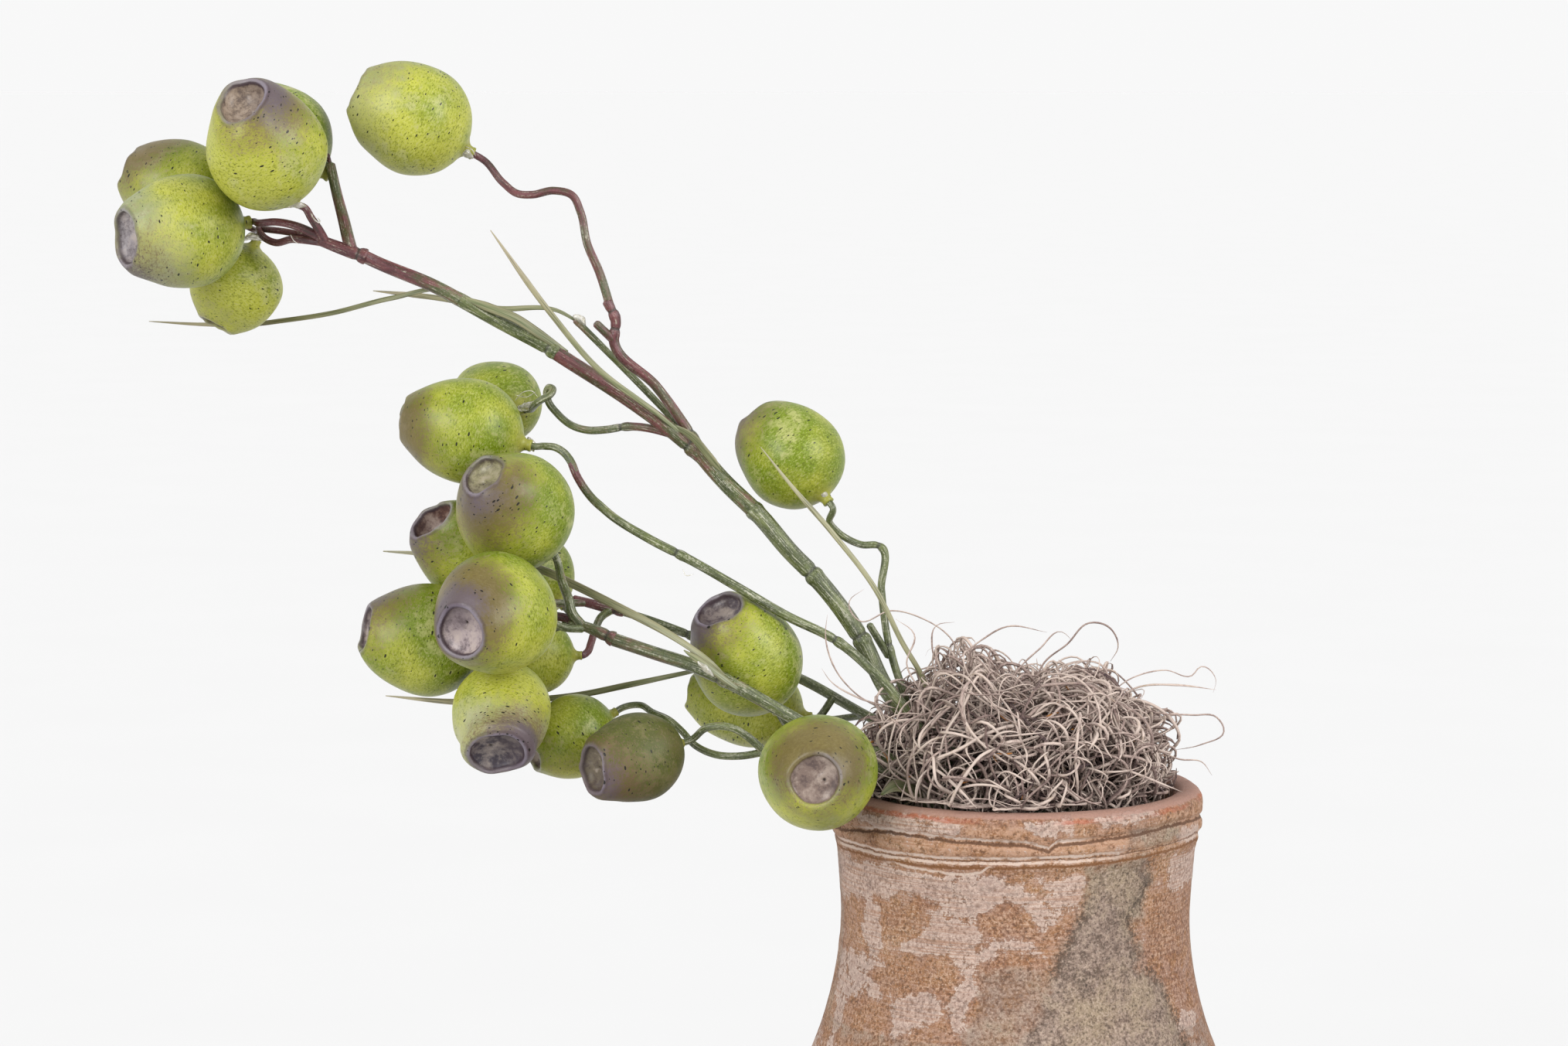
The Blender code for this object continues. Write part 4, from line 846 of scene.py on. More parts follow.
# The glue. Clear hot-melt glue that holds each pod on its wire, squeezed out in beads with fine strings drawn off
# them. Each run is points in mm and its radius in mm at those points.
GLUE = {
    "glue_top": (
        (((-191, -6, 157.5), (-193, -6.5, 157.8), (-195.5, -7, 157.6), (-197, -7, 157)), (0.3, 0.9, 0.6, 0.15)),
        (((-190, -5.2, 155.6), (-189, -5.2, 153.8), (-187.7, -4.6, 153.2), (-188.3, -4.6, 154.4)), (0.16,) * 4),
        (((-196, -1.5, 149.8), (-195, -1.5, 148), (-193.7, -1, 147.2)), (0.08, 0.10, 0.06)),
        (((-211, 15, 147.5), (-208.5, 14.5, 148.6), (-205.5, 15.5, 147.4)), (0.4, 1.1, 0.3)),
    ),
    "glue_high": (
        (((-151.8, 12, 172.6), (-149.6, 12.4, 171.3), (-147.6, 12.6, 169.8)), (0.4, 1.25, 0.5)),
        (((-150, 10.8, 173.2), (-148, 10.6, 172.4), (-146.8, 11, 170.4)), (0.12, 0.14, 0.1)),
        (((-120.9, 15.6, 126.9), (-118.9, 15.4, 126), (-117.6, 15.4, 123.9)), (0.6, 1.2, 0.5)),
    ),
    "glue_middle": (
        (((-135.9, 16, 101.4), (-134, 14, 102), (-131.6, 11.5, 103.2), (-129.6, 10, 104)), (0.8, 1.2, 0.8, 0.2)),
        (((-137, 17, 103.5), (-134.6, 15, 106), (-132, 13, 106.4), (-130.4, 11, 105)), (0.1, 0.14, 0.12, 0.08)),
        (((-136.6, 17, 105), (-134, 15, 104.6), (-130.8, 12, 106.5)), (0.08, 0.12, 0.08)),
        (((-132.8, 4, 94.6), (-131.8, 4, 93), (-131.2, 3.8, 90.6)), (0.4, 1.15, 0.5)),
        (((-54.5, 6, 79.8), (-52.9, 6.4, 79.2), (-51.2, 6.6, 77)), (0.4, 1.2, 0.4)),
    ),
    "glue_low": (
        (((-90.5, -7.5, 59.8), (-89.6, -8, 58.2), (-87.6, -8, 58.6)), (0.1, 0.14, 0.1)),
        (((-86.6, -21, 36.8), (-84.2, -21.6, 34.8), (-82, -21.4, 32.6)), (0.3, 0.9, 0.4)),
        (((-122.5, 9.8, 34.8), (-121.6, 9.6, 33.6), (-120.6, 9.8, 32.4)), (0.3, 1.0, 0.3)),
    ),
}
# Set hot-melt glue (EVA): clear and glossy, IOR 1.48, with a slight milkiness that shows it against the white
clear_glue, tree = new_finish("clear_hot_melt_glue")
place = add(tree, "TexCoord").outputs["Object"]
milk = add(tree, "TexNoise", {"Vector": place, "Scale": 900.0, "Detail": 3.0})
tone = laid(mapped(milk, 0.4, 0.65), "#f4f1e9", "#c9c3ae")
bump = add(tree, "Bump", {"Height": milk, "Strength": 0.4, "Distance": 0.0003})
shader = add(tree, "BsdfPrincipled", {
    "Base Color": tone, "Roughness": 0.12, "IOR": 1.48, "Transmission Weight": 0.65, "Normal": bump,
})
add(tree, "OutputMaterial", {"Surface": shader})
GLUE_STEP = 0.00025
GLUE_SIDES = 10
for name, runs in GLUE.items():
    form = defaultdict(list)
    for points, radii in runs:
        route = smooth_through(above_mouth(points), GLUE_STEP)
        length = length_of(route)

        def beaded(along, angle):
            """The bead's radius, read off its list along the run and puckered."""
            at = min(along / length, 0.999) * (len(radii) - 1)
            here = int(at)
            radius = radii[here] + (radii[here + 1] - radii[here]) * ease(0, 1, at - here)
            radius *= 1 + 0.25 * noise.noise(Vector((along * 900, math.cos(angle) * 1.5, math.sin(angle) * 1.5)))
            return (radius / 1000 * min(1.0, 0.35 + along / 0.0006, 0.25 + (length - along) / 0.0006),) * 2

        sweep(form, route, beaded, GLUE_SIDES, STEM_FACING)
    glue = new_piece(name, form, clear_glue)
    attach(glue, "root")


# The moss. Dried Spanish moss pushed in round the stems to hide the foam: a springy tangle of curly strands
# 0.5 to 1 mm thick, with dark gaps, loose loops over the rim and flyaway ends. Nothing holds it but itself.
MOSS_REACH = 0.0445
# How far out the strands must clear the rim, how high over the mouth they then lie, and how low on the foam
MOSS_RIM = 0.0405
MOSS_ON_RIM = 0.0012
MOSS_ON_FOAM = -0.0065
# The height under which a strand turns up again
MOSS_TURNS_UP = -0.003
# The top of the nest, as distances right of the mouth's middle and up from it
MOSS_TOPS = (
    (-0.045, 0.017), (-0.040, 0.022), (-0.028, 0.0245), (-0.016, 0.0335), (-0.009, 0.0310), (0.001, 0.0245),
    (0.011, 0.0285), (0.020, 0.0270), (0.029, 0.0245), (0.036, 0.0215), (0.042, 0.0180), (0.046, 0.0120),
)
# Loose ends that stick out, as points in mm from the middle of the jar's mouth
FLYAWAYS = (
    ((23, -8, 20), (30, -8, 23), (38, -10, 21), (47, -10, 20.5), (54, -8, 19.5), (56, -7, 15.5), (50, -7, 12),
     (42, -8, 10.5)),
    ((22, 2, 21), (32, 2, 29), (41, 2, 31), (48, 2, 29.5), (50.5, 2, 32), (54.5, 1, 28.5), (53.8, 1, 25)),
    ((24, 5, 20), (34, 5, 26), (44, 5, 26.5), (55, 5, 25.2)),
    ((4, 4, 22), (8, 4, 33), (14, 3, 38), (20, 2, 44), (25, 3, 43), (28, 4, 37), (26, 5, 33)),
    ((-4, -6, 22), (0, -6, 32), (6, -6, 38), (12, -5, 42.5), (15, -5, 40)),
    ((-18, -4, 33), (-10, -5, 40), (-3, -6, 44), (8, -6, 42.5)),
    ((-14, 4, 32), (-18, 3, 40), (-25, 2, 45), (-34, 1, 47.5), (-43, 0, 45), (-45.5, 0, 50), (-41.5, 0, 53.5)),
    ((-20, -2, 30), (-23, -3, 38), (-22, -4, 44), (-17, -4, 45)),
    ((-22, -5, 18), (-26, -6, 26), (-30, -6, 34), (-28, -6, 42), (-33, -5, 46)),
    ((-34, -4, 20), (-44, -6, 26), (-50, -8, 34), (-52, -8, 42), (-51.5, -8, 47.5)),
    ((-33, -8, 22), (-43, -9, 25), (-51, -9, 30), (-53, -9, 33)),
    ((29, -16, 9), (36, -18, 12), (43, -20, 10), (49, -18, 9), (52, -16, 5)),
    ((24, -30, 10), (31, -33, 8), (38, -32, 5), (43, -28, 2.5)),
    ((-8, -30, 12), (-10, -38, 8), (-5, -43.5, 4), (0, -46, 1.5)),
    ((5, -32, 12), (10, -40, 7), (16, -44, 3), (21, -44.5, 1.4)),
    ((-24, -24, 16), (-32, -28, 12), (-38, -27, 6), (-41, -24, 2)),
)
FLYAWAY_STEP = 0.0012
moss_draw = random.Random(23)


def any_way():
    """A vector that points any way."""
    return Vector([moss_draw.uniform(-1, 1) for _ in range(3)])


def moss_top(x):
    """The height of the nest over the mouth, read across it from left to right."""
    if x <= MOSS_TOPS[0][0]:
        return MOSS_TOPS[0][1]
    for (x0, z0), (x1, z1) in zip(MOSS_TOPS, MOSS_TOPS[1:]):
        if x < x1:
            return z0 + (z1 - z0) * ease(x0, x1, x)
    return MOSS_TOPS[-1][1]


def moss_fullness(spot):
    """0 in the middle of the nest, 1 on its lumpy outside."""
    lump = 1 + 0.13 * noise.noise(spot * 60 + Vector((9, 2, 4)))
    waist = 1 - 0.14 * ease(0.015, 0.004, spot.z) * ease(0.0, 0.03, spot.x)
    across = math.hypot(spot.x + 0.0010, spot.y) / (MOSS_REACH * lump * waist)
    up = max(0, spot.z) / (moss_top(spot.x) * lump * (1 - 0.20 * (spot.y / MOSS_REACH) ** 2))
    return across**5 + up**2.3


def moss_route(start, heading, spans, step, curl, low, high):
    """A strand that wanders with a changing curl and turns back when it strays out of the nest or into it."""
    route = [start]
    spin = any_way().normalized() / curl
    for _ in range(spans):
        spot = route[-1]
        full = moss_fullness(spot)
        out = Vector((spot.x, spot.y, spot.z * 0.9 + 0.004)).normalized()
        if full > high:
            heading -= out * (0.15 * max(0, heading.dot(out)) + min(0.5, (full - high) * 1.2))
        elif full < low:
            heading += out * (0.15 * max(0, -heading.dot(out)) + min(0.5, (low - full) * 1.2))
        if spot.z < MOSS_TURNS_UP:
            heading.z = abs(heading.z)
        spin += any_way() * (0.27 / curl)
        if spin.length > 1.4 / curl:
            spin *= 1.4 / curl / spin.length
        heading.rotate(Matrix.Rotation(spin.length * step, 3, spin))
        heading.normalize()
        spot = spot + heading * step
        if math.hypot(spot.x, spot.y) > MOSS_RIM:
            spot.z = max(spot.z, MOSS_ON_RIM)
        spot.z = max(spot.z, MOSS_ON_FOAM)
        route.append(spot)
    return route


def lay_strand(form, route, radius, sides, flat, shade, warm):
    """Adds one strand, drawn out to a fine end, flatter where flat is less than 1."""
    length = length_of(route)

    def stringy(along, angle):
        """The strand's half widths: lumpy, with a blunt start and a fine end."""
        taper = min(1.0, 0.35 + along / 0.005, 0.12 + (length - along) / 0.010)
        taper *= 1 + 0.22 * noise.noise(Vector((along * 350, shade * 90, 0)))
        return radius * taper, radius * taper * flat

    sweep(form, route, stringy, sides, any_way(), shade=shade, warm=warm)


def lay_moss(name, form):
    """Makes one layer of the nest from its strands."""
    form["points"] = [point + MOUTH for point in form["points"]]
    layer = new_piece(name, form, dried_moss)
    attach(layer, "root")
    return layer


def tangle(count, spans, step, sides, thick, curls, low, high, shades):
    """Strands that start all over the nest between two depths. thick, curls and shades are the range of each."""
    form = defaultdict(list)
    for _ in range(count):
        turn = moss_draw.uniform(0, math.tau)
        share = moss_draw.random() ** 0.5
        start = Vector((MOSS_REACH * share * math.cos(turn), MOSS_REACH * share * math.sin(turn), 0))
        start.z = moss_top(start.x) * math.sqrt(max(0.02, 1 - share**6)) * moss_draw.uniform(low, high)
        # Those near the outside start anywhere up its side, and fewer start where the stems come through
        if share > 0.75:
            start.z = moss_draw.uniform(-0.004, 0.017)
        if start.x < -0.012 and moss_draw.random() < 0.35:
            continue
        heading = any_way().normalized()
        route = moss_route(start, heading, spans, step, moss_draw.uniform(*curls), low, high)
        flat = moss_draw.uniform(0.45, 1.0)
        lay_strand(form, route, moss_draw.uniform(*thick), sides, flat, moss_draw.uniform(*shades), 0.0)
    return form


# Dried plant fibre, papery and scaly: quite dull (roughness 0.8), grey-beige and silvery on its scales, with
# brown where the scales have rubbed off, over lengths of about 3 mm. Scraps of sheath can be orange.
dried_moss, tree = new_finish("dried_spanish_moss")
grain = add(tree, "Attribute", attribute_name="grain").outputs["Vector"]
shade, warm = (add(tree, "Attribute", attribute_name=mark).outputs["Fac"] for mark in ("shade", "warm"))
place = add(tree, "TexCoord").outputs["Object"]
scales = add(tree, "TexNoise", {"Vector": place, "Scale": 330.0, "Detail": 4.0, "Roughness": 0.7})
husk = add(tree, "TexNoise", {"Vector": place, "Scale": 2400.0, "Detail": 2.0})
tone = add(tree, "ValToRGB", {"Fac": summed(shade, (scales, 0.8), (husk, 0.3))}, stops=(
    (0.45, "#36292b"), (0.66, "#6b5954"), (0.88, "#9b8981"), (1.0, "#b5a59b"),
))
tone = laid(warm, coated(tone, (scales, 0.56, 0.70, 0.4, "#8a765a")), "#a86f36")
bump = add(tree, "Bump", {"Height": husk, "Strength": 0.4, "Distance": 0.0002})
shader = add(tree, "BsdfPrincipled", {
    "Base Color": tone, "Roughness": 0.8, "IOR": 1.45, "Specular IOR Level": 0.3, "Normal": bump,
})
add(tree, "OutputMaterial", {"Surface": shader})

# The nest is laid from the inside out: a matted bed coloured dark as painted shade deep in the nest, the curls that
# show, and loose ends
# The bed's strands get the darkest tones: painted shade inside the nest
painted_shade_bed = tangle(
    480, spans=14, step=0.0024, sides=3, thick=(0.00040, 0.00062), curls=(0.005, 0.014),
    low=0.08, high=0.55, shades=(0.0, 0.18),
)
lay_moss("moss_mat_painted_shade", painted_shade_bed)
curls = tangle(
    640, spans=30, step=0.0017, sides=4, thick=(0.00025, 0.00052), curls=(0.0050, 0.022),
    low=0.40, high=0.97, shades=(0.12, 0.70),
)
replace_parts(lay_moss("moss_curls", curls), "moss_nest")
loose = tangle(
    110, spans=30, step=0.0017, sides=4, thick=(0.00018, 0.00034), curls=(0.006, 0.018),
    low=0.85, high=1.20, shades=(0.25, 0.60),
)
for points in FLYAWAYS:
    route = smooth_through([Vector(point) / 1000 for point in points], FLYAWAY_STEP)
    lay_strand(loose, route, moss_draw.uniform(0.00022, 0.00034), 5, 0.7, moss_draw.uniform(0.25, 0.45), 0.0)
# Torn scraps of leaf sheath, flat, caught in the outside of the nest. Every second one is short and orange.
SCRAPS = 48
SCRAP_STEP = 0.0011
SCRAP_CURL = 0.012
SCRAP_HALF = 0.00062
ORANGE_HALF = 0.00075
for number in range(SCRAPS):
    turn = moss_draw.uniform(math.pi * 0.95, math.pi * 2.05)
    share = moss_draw.random() ** 0.6
    start = Vector((MOSS_REACH * share * math.cos(turn), MOSS_REACH * share * math.sin(turn), 0))
    start.z = moss_top(start.x) * math.sqrt(max(0.05, 1 - share**3.2)) * moss_draw.uniform(0.84, 1.00)
    heading = any_way().normalized()
    orange = number % 2 == 0
    spans = 4 if orange else moss_draw.randint(7, 13)
    route = moss_route(start, heading, spans, SCRAP_STEP, SCRAP_CURL, 0.94, 1.16)
    half = ORANGE_HALF if orange else SCRAP_HALF
    lay_strand(loose, route, half, 6, 0.25, moss_draw.uniform(0.45, 0.75), float(orange))
lay_moss("moss_loose", loose)


# The pods. Gumnuts moulded in light foam plastic and dipped in glossy paint: a slightly drawn-out globe whose
# mouth is a shallow dish with a soft narrow lip, or on pod 8 a soft dome. Each is stuck by its short calyx to the
# end of a wire.
POD_TURNS = 72
POD_STEP = 0.0006
DISH_ROWS = 15
DISH_MIDDLE = 0.00002
# A small pit near the dish's middle and the swelling round it, in metres
PIT_HALF = 0.00042
PIT_DEPTH = 0.0010
SWELLING_AT = 0.0014
SWELLING_HALF = 0.0006
OLIVE_POD = 17
# From the calyx's tip to the shoulder: share of the pod's radius, and share of its length
POD_OUTLINE = (
    (0.085, -0.092), (0.115, -0.088), (0.108, -0.060), (0.122, -0.032), (0.185, -0.006), (0.34, 0.022),
    (0.60, 0.087), (0.84, 0.205), (0.975, 0.345), (1.0, 0.455), (0.975, 0.575), (0.915, 0.685), (0.820, 0.785),
)
# The shoulder and lip, added to the mouth's share of the radius
LIP_OUTLINE = (
    (0.150, 0.938), (0.092, 0.966), (0.045, 0.987), (0.012, 0.997), (-0.016, 0.999), (-0.044, 0.991), (-0.066, 0.970),
)
# Each pod's look: how ripe a green, how much brown blush, how much waxy bloom and painted sheen, how deep its dish
# is in mm (less than 0 is a dome), how wide its mouth is, how oval, the tone of its dish, how purple its lip, and
# which way its blush lies from the mouth as the photograph sees it (degrees, 0 to the right and 90 up)
POD_LOOKS = (
    (0.05, 0.75, 0.25, 4.6, 0.47, 0.09, "#887868", 0.80, 10),
    (0.80, 0.30, 0.20, 2.5, 0.46, 0.05, "#6a5c56", 0.60, 90),
    (0.10, 0.35, 0.85, 2.5, 0.40, 0.06, "#6a5c56", 0.20, 120),
    (0.30, 0.90, 0.60, 2.5, 0.43, 0.05, "#6a5c56", 0.25, 100),
    (0.40, 0.45, 0.95, 3.0, 0.51, 0.05, "#8c8688", 0.60, -90),
    (0.00, 0.30, 0.55, 2.0, 0.40, 0.05, "#6a5c56", 0.10, 180),
    (0.35, 0.20, 0.40, 2.5, 0.42, 0.05, "#6a5c56", 0.60, 0),
    (0.50, 0.80, 0.10, -2.4, 0.43, 0.04, "#77684f", 0.08, 175),
    (0.66, 0.85, 0.35, 2.6, 0.43, 0.07, "#7f7a5c", 0.65, -75),
    (0.45, 0.60, 0.15, 6.0, 0.47, 0.14, "#64493f", 0.70, 200),
    (0.30, 0.25, 0.45, 2.5, 0.44, 0.05, "#6a5c56", 0.60, 0),
    (0.55, 1.15, 0.50, 2.0, 0.47, 0.06, "#8e8182", 1.00, 110),
    (0.60, 0.65, 0.25, 2.2, 0.44, 0.10, "#5c5050", 0.60, 120),
    (0.00, 0.80, 0.95, 3.0, 0.62, 0.06, "#3f3a43", 1.00, 20),
    (0.35, 0.40, 0.60, 2.5, 0.44, 0.05, "#6a5c56", 0.60, 0),
    (0.45, 0.30, 0.30, 2.5, 0.40, 0.05, "#6a5c56", 0.20, 0),
    (0.60, 0.60, 0.05, 2.4, 0.53, 0.08, "#5c5344", 0.70, -20),
    (0.52, 0.62, 0.22, 2.8, 0.50, 0.08, "#4f474d", 1.00, 200),
    (0.30, 0.30, 0.20, 2.5, 0.38, 0.05, "#6a5c56", 0.20, 0),
    (0.55, 0.90, 0.60, 1.2, 0.46, 0.03, "#6d5d55", 0.12, 85),
    (0.60, 0.60, 0.10, 2.5, 0.44, 0.05, "#6a5c56", 0.60, 180),
)

# Glossy paint over foam: roughness 0.35 to 0.5, so a soft light shows as a broad pale patch. Each paint is two
# greens under a sprayed brown blush, a pale tone brushed over them, and how rough it is.
pod_paints = []
for name, yellow, green, pale, gloss in (
    ("painted_green_pod", "#9d9f3a", "#637410", "#b9b67e", 0.34),
    ("painted_olive_pod", "#554b27", "#43461e", "#766d4c", 0.50),
):
    paint, tree = new_finish(name)
    pod_paints.append(paint)
    grain = add(tree, "Attribute", attribute_name="grain").outputs["Vector"]
    ripe_and_top_shade, blush, smear, wax_and_sheen, rim, purple, pit, foot = (
        add(tree, "Attribute", attribute_name=mark).outputs["Fac"]
        for mark in ("ripe_and_top_shade", "blush", "smear", "wax_and_sheen", "rim", "purple", "pit", "foot")
    )
    dish = add(tree, "Attribute", attribute_name="dish").outputs["Color"]
    clouds = add(tree, "TexNoise", {"Vector": grain, "Scale": 62.0, "Detail": 3.0, "Roughness": 0.5})
    drift = add(tree, "TexNoise", {"Vector": grain, "Scale": 300.0, "Detail": 5.0, "Roughness": 0.65})
    turned = add(tree, "Mapping", {"Vector": grain, "Scale": (0.5, 0.5, 1.0)})
    stipple = add(tree, "TexNoise", {"Vector": turned, "Scale": 2300.0, "Detail": 3.0, "Roughness": 0.7})
    # Two greens meet in clouds 15 mm across, with a finer drift and a stipple 0.4 mm high brushed round the pod
    # The ripe mark also carries painted shade: faces that look up are greener and darker
    skin = coated(
        laid(mapped(summed(ripe_and_top_shade, (clouds, 2.6), (drift, 0.3)), 1.50, 2.25), yellow, green),
        (summed(drift, (clouds, 1.0)), 1.06, 1.22, 0.40, pale),
        (stipple, 0.53, 0.66, 0.45, pale),
        (stipple, 0.48, 0.35, 0.70, "#4c5213"),
        (foot, 0.0, 1.0, 0.7, "#8a873c"),
    )
    # Bloom: a waxy grey veil, thickest near the mouth, partly real bloom and partly a painted sheen of the white
    # surround
    bloom_and_sheen = mapped(summed(times(wax_and_sheen, 0.8), (clouds, 0.6), (drift, 0.35)), 0.78, 1.20, 0.0, 0.72)
    skin = laid(times(bloom_and_sheen, mapped(wax_and_sheen, 0.0, 0.25)), skin, "#97977f")
    # Brown blush in sprayed dots, and a purple-grey smear that fades out on one side of the mouth
    skin = coated(
        skin,
        (summed(blush, (stipple, 1.6), (drift, 0.5)), 1.20, 1.72, 0.82, "#58442f"),
        (summed(smear, (drift, 0.5), (clouds, 0.5), (stipple, 0.8)), 1.20, 1.70, 0.88, "#51464e"),
    )
    # The lip: lilac-grey with a worn pale crest, and a thin dark line at its foot and inside it
    uneven = summed(rim, (drift, 1.2), (clouds, 1.0))
    skin = laid(times(mapped(uneven, 0.1, 0.9, 0.0, 0.85), purple), skin, "#5e545f")
    crest = times(mapped(uneven, 0.5, 1.1), mapped(uneven, 2.1, 1.5))
    skin = laid(times(crest, mapped(clouds, 0.42, 0.58, 0.0, 0.42)), skin, "#89838b")
    # The dish: its own tone clouded lighter and darker, purple down one side, with a small hole off its middle
    bowl = coated(
        dish,
        (summed(drift, (clouds, 0.8)), 0.86, 1.08, 0.5, "#b3a598"),
        (summed(drift, (stipple, 0.6)), 0.82, 0.62, 0.65, "#3b2f30"),
        (smear, 0.1, 0.9, 0.55, "#43363a"),
    )
    skin = laid(mapped(uneven, 1.9, 2.5), skin, bowl)
    line = times(mapped(uneven, -0.5, 0.1), mapped(uneven, 0.8, 0.2))
    ring = times(mapped(uneven, 1.5, 1.9), mapped(uneven, 3.0, 2.3))
    line = times(line, mapped(purple, 0.0, 1.0, 0.1, 0.6))
    ring = times(ring, mapped(purple, 0.0, 0.7, 0.35, 1.0))
    lines = add(tree, "Math", {0: line, 1: ring}, operation="MAXIMUM")
    skin = laid(times(lines, mapped(clouds, 0.38, 0.54, 0.35, 0.90)), skin, "#33252a")
    skin = coated(skin, (pit, 0.20, 0.6, 0.9, "#2c201c"))
    # Black flecks: dashes 0.3 to 1 mm long in three directions, and pin dots between them
    outside = mapped(rim, 0.6, 0.0)
    for cells, reach, share, longer, turn, soft in (
        (330.0, 0.21, 0.60, 2.4, (0.30, 0.15, 0.4), 0.020),
        (480.0, 0.19, 0.60, 2.0, (-0.25, 0.20, 1.2), 0.025),
        (850.0, 0.20, 0.70, 1.5, (0.10, -0.30, 2.2), 0.05),
    ):
        skewed = add(tree, "Mapping", {"Vector": grain, "Rotation": turn, "Scale": (1.0, 1.0, longer)})
        fleck = add(tree, "TexVoronoi", {"Vector": skewed, "Scale": cells})
        chosen = add(tree, "SeparateColor", {0: fleck.outputs["Color"]})
        gathered = summed(chosen, (clouds, 0.8), (blush, 0.10))
        size = mapped(gathered, share + 0.40, share + 0.70, 0.0, reach)
        inside = add(tree, "Math", {0: size, 1: fleck.outputs["Distance"]}, operation="SUBTRACT")
        skin = laid(times(mapped(inside, 0.0, soft, 0.0, 0.95), outside), skin, "#100e08")
    dulled = summed(gloss, (bloom_and_sheen, 0.12), (mapped(stipple, 0.3, 0.7), 0.10), (mapped(rim, 0.0, 3.0), -0.06))
    bump = add(tree, "Bump", {"Height": drift, "Strength": 0.22, "Distance": 0.0006})
    bump = add(tree, "Bump", {"Height": stipple, "Strength": 0.25, "Distance": 0.0001, "Normal": bump})
    shader = add(tree, "BsdfPrincipled", {
        "Base Color": skin, "Roughness": dulled, "IOR": 1.45, "Specular IOR Level": 0.33, "Normal": bump,
    })
    add(tree, "OutputMaterial", {"Surface": shader})
green_paint, olive_paint = pod_paints

pod_draw = random.Random(41)


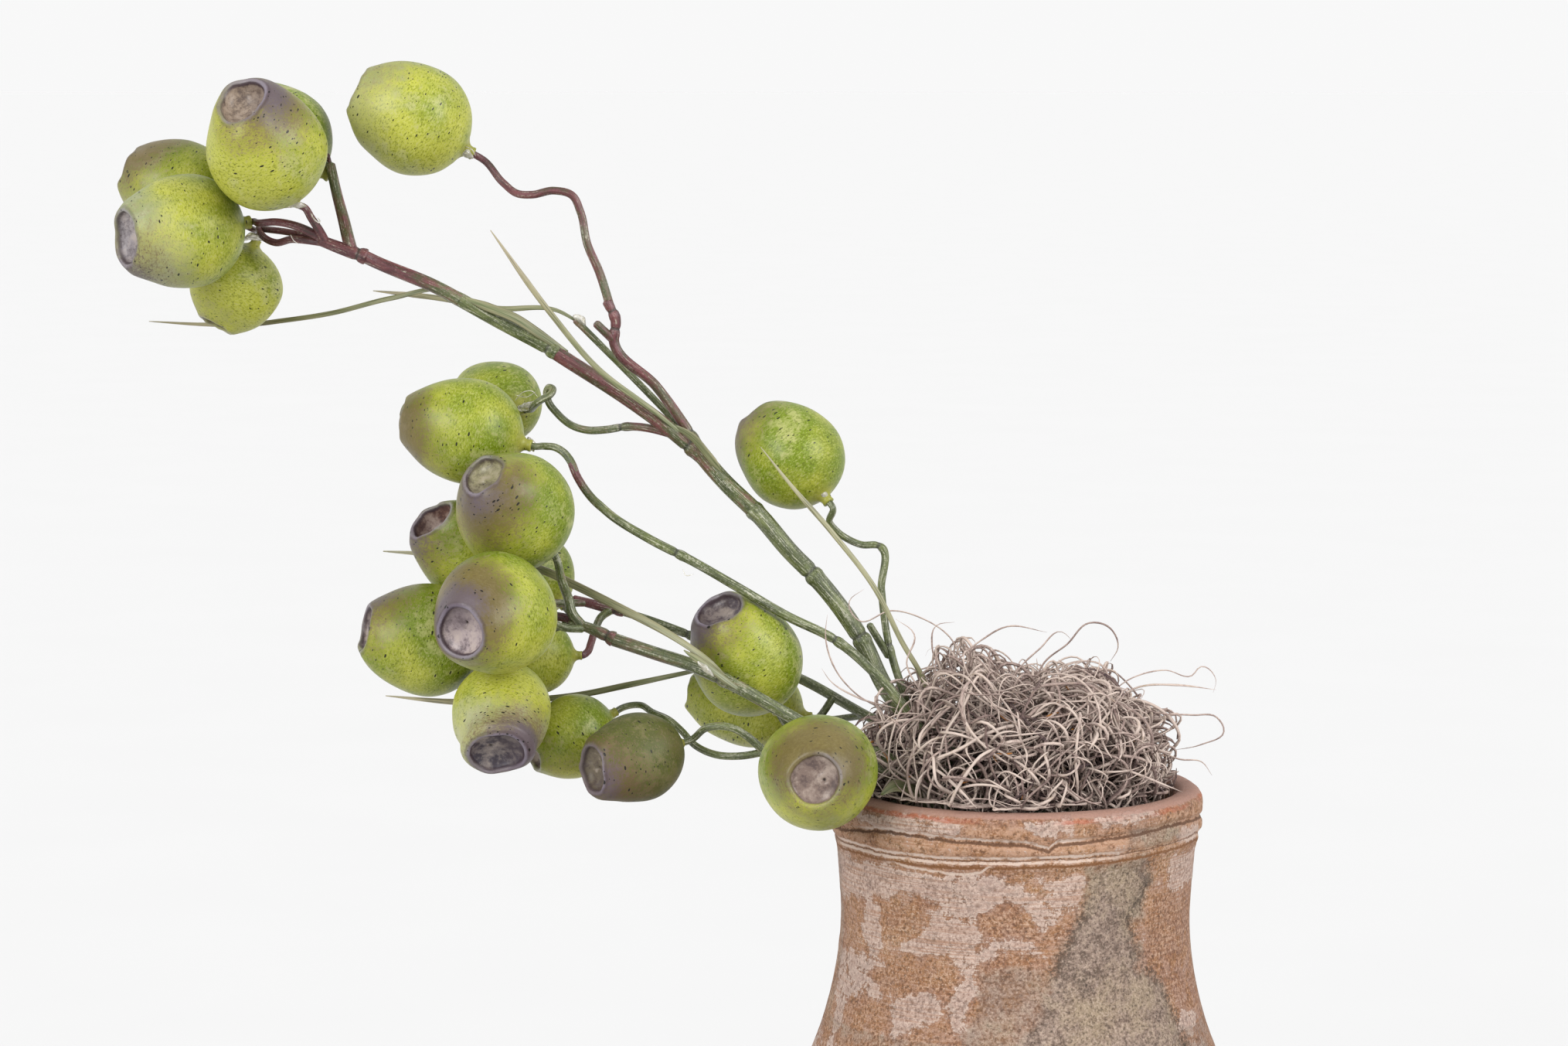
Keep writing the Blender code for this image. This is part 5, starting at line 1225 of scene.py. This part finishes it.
def build_pod(number):
    """One pod: turned, then made uneven, its lip pushed off centre and tilted and its dish sunk in."""
    middle, facing, diameter, length = PODS[number - 1]
    ripe_and_top_shade, blush, wax_and_sheen, depth, mouth, oval, dish, purple, blush_at = POD_LOOKS[number - 1]
    radius = diameter / 2
    shape = [*POD_OUTLINE, (0.475 + mouth / 2, 0.876), *((mouth + r, a) for r, a in LIP_OUTLINE)]
    bowl_out, bowl_top = (mouth - 0.066) * radius, 0.970 * length
    profile = smooth_through([(r * radius, 0, a * length) for r, a in shape], POD_STEP)
    for row in range(1, DISH_ROWS + 1):
        angle = math.pi / 2 * row / DISH_ROWS
        out = max(bowl_out * math.cos(angle), DISH_MIDDLE)
        profile.append(Vector((out, 0, bowl_top - depth / 1000 * math.sin(angle))))
    # The crest of the lip, where the outside ends and the dish begins
    crest_row = max(range(len(profile)), key=lambda i: profile[i].z)
    lengths = [0.0]
    for before, after in zip(profile, profile[1:]):
        lengths.append(lengths[-1] + (after - before).length * 1000)
    turn = Vector(facing).to_track_quat("Z", "Y")
    # The way of the blush in the picture, as an angle round the pod
    toward = turn.inverted() @ Vector((math.cos(math.radians(blush_at)), 0, math.sin(math.radians(blush_at))))
    blush_way = math.atan2(toward.y, toward.x)
    tilt_way, off_way, pit_way = (pod_draw.uniform(0, math.tau) for _ in range(3))
    tilt, off = pod_draw.uniform(0.02, 0.12), pod_draw.uniform(0.0003, 0.0012)
    waves = [pod_draw.uniform(0, math.tau) for _ in range(5)]
    seed = Vector([pod_draw.uniform(-1, 1) for _ in range(3)])
    pit_out = pod_draw.uniform(0.0006, 0.0022)
    pit_spot = Vector((pit_out * math.cos(pit_way), pit_out * math.sin(pit_way)))
    seat = Vector(middle) + MOUTH
    form = defaultdict(list)
    for row, spot in enumerate(profile):
        share, out = spot.z / length, spot.x
        near_mouth = ease(0.60, 0.98, share) if row < crest_row else 1.0
        near_lip = ease(0.88, 0.98, share) if row < crest_row else ease(0.20, 0.40, out / radius)
        body = ease(0.0, 0.2, share) if row < crest_row else 1.0
        for step in range(POD_TURNS):
            angle = math.tau * step / POD_TURNS
            way = Vector((math.cos(angle), math.sin(angle), 0))
            uneven = 0.012 * math.cos(2 * angle + waves[0]) + 0.010 * math.cos(3 * angle + waves[1])
            uneven += near_mouth * (oval * math.cos(2 * angle + waves[2]) + 0.020 * math.cos(3 * angle + waves[3]))
            uneven += near_lip * 0.012 * math.cos(4 * angle + waves[4])
            uneven += 0.022 * noise.noise(way * 1.4 + Vector((seed.x * 9, seed.y * 9, share * 3)))
            point = way * out * (1 + uneven * body)
            point.x += near_mouth * off * math.cos(off_way)
            point.y += near_mouth * off * math.sin(off_way)
            point.z = spot.z + near_mouth * tilt * out * math.cos(angle - tilt_way)
            point.z += near_lip * 0.0006 * noise.noise(way * 1.8 + seed * 5)
            in_pit = 0.0
            if row > crest_row:
                from_pit = (Vector((point.x, point.y)) - pit_spot).length
                in_pit = bell(from_pit, PIT_HALF)
                point.z -= PIT_DEPTH * in_pit
                point.z += PIT_DEPTH / 4 * bell(from_pit - SWELLING_AT, SWELLING_HALF)
            point.z -= length / 2
            form["points"].append(seat + turn @ point)
            # How much the surface faces up; the marks below use it to paint shade on the tops and light on the
            # undersides
            up = (turn @ Vector((way.x, way.y, 1.6 * share - 0.7))).normalized().z
            one_side = 0.5 + 0.5 * math.cos(angle - blush_way)
            form["grain"].append(point + seed)
            # Faces that look up are made greener and darker: painted shade that offsets the light from above
            form["ripe_and_top_shade"].append(ripe_and_top_shade + 0.25 * ease(0.60, 0.05, share) + 0.24 * up)
            spread = ease(0.40 + 0.38 * (1 - one_side), 0.97, share)
            form["blush"].append(blush * (spread * (0.35 + 0.65 * one_side) + 0.10 * one_side))
            # The purple-grey smear reaches further from the mouth on the side of the blush
            near = ease(0.66 + 0.26 * (1 - one_side), 0.98, share) if row < crest_row else 1.0
            form["smear"].append(purple * near * one_side**1.6)
            # The veil thins on faces that look up, so the undersides are painted lighter against the light from above
            form["wax_and_sheen"].append(wax_and_sheen * (0.20 + 0.80 * ease(0.30, 0.9, share)) * (0.80 - 0.15 * up))
            form["rim"].append(lengths[row] - lengths[crest_row])
            form["dish"].append(Vector(linear(dish)[:3]))
            form["purple"].append(purple)
            form["pit"].append(in_pit)
            form["foot"].append(ease(0.045, -0.02, share) if row < crest_row else 0.0)
    form["faces"] = ringed(0, len(profile), POD_TURNS)
    pod = new_piece(f"gumnut_{number:02d}", form, olive_paint if number == OLIVE_POD else green_paint)
    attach(pod, "root")
    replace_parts(pod, f"pod_{number:02d}")


for number in range(1, len(PODS) + 1):
    build_pod(number)
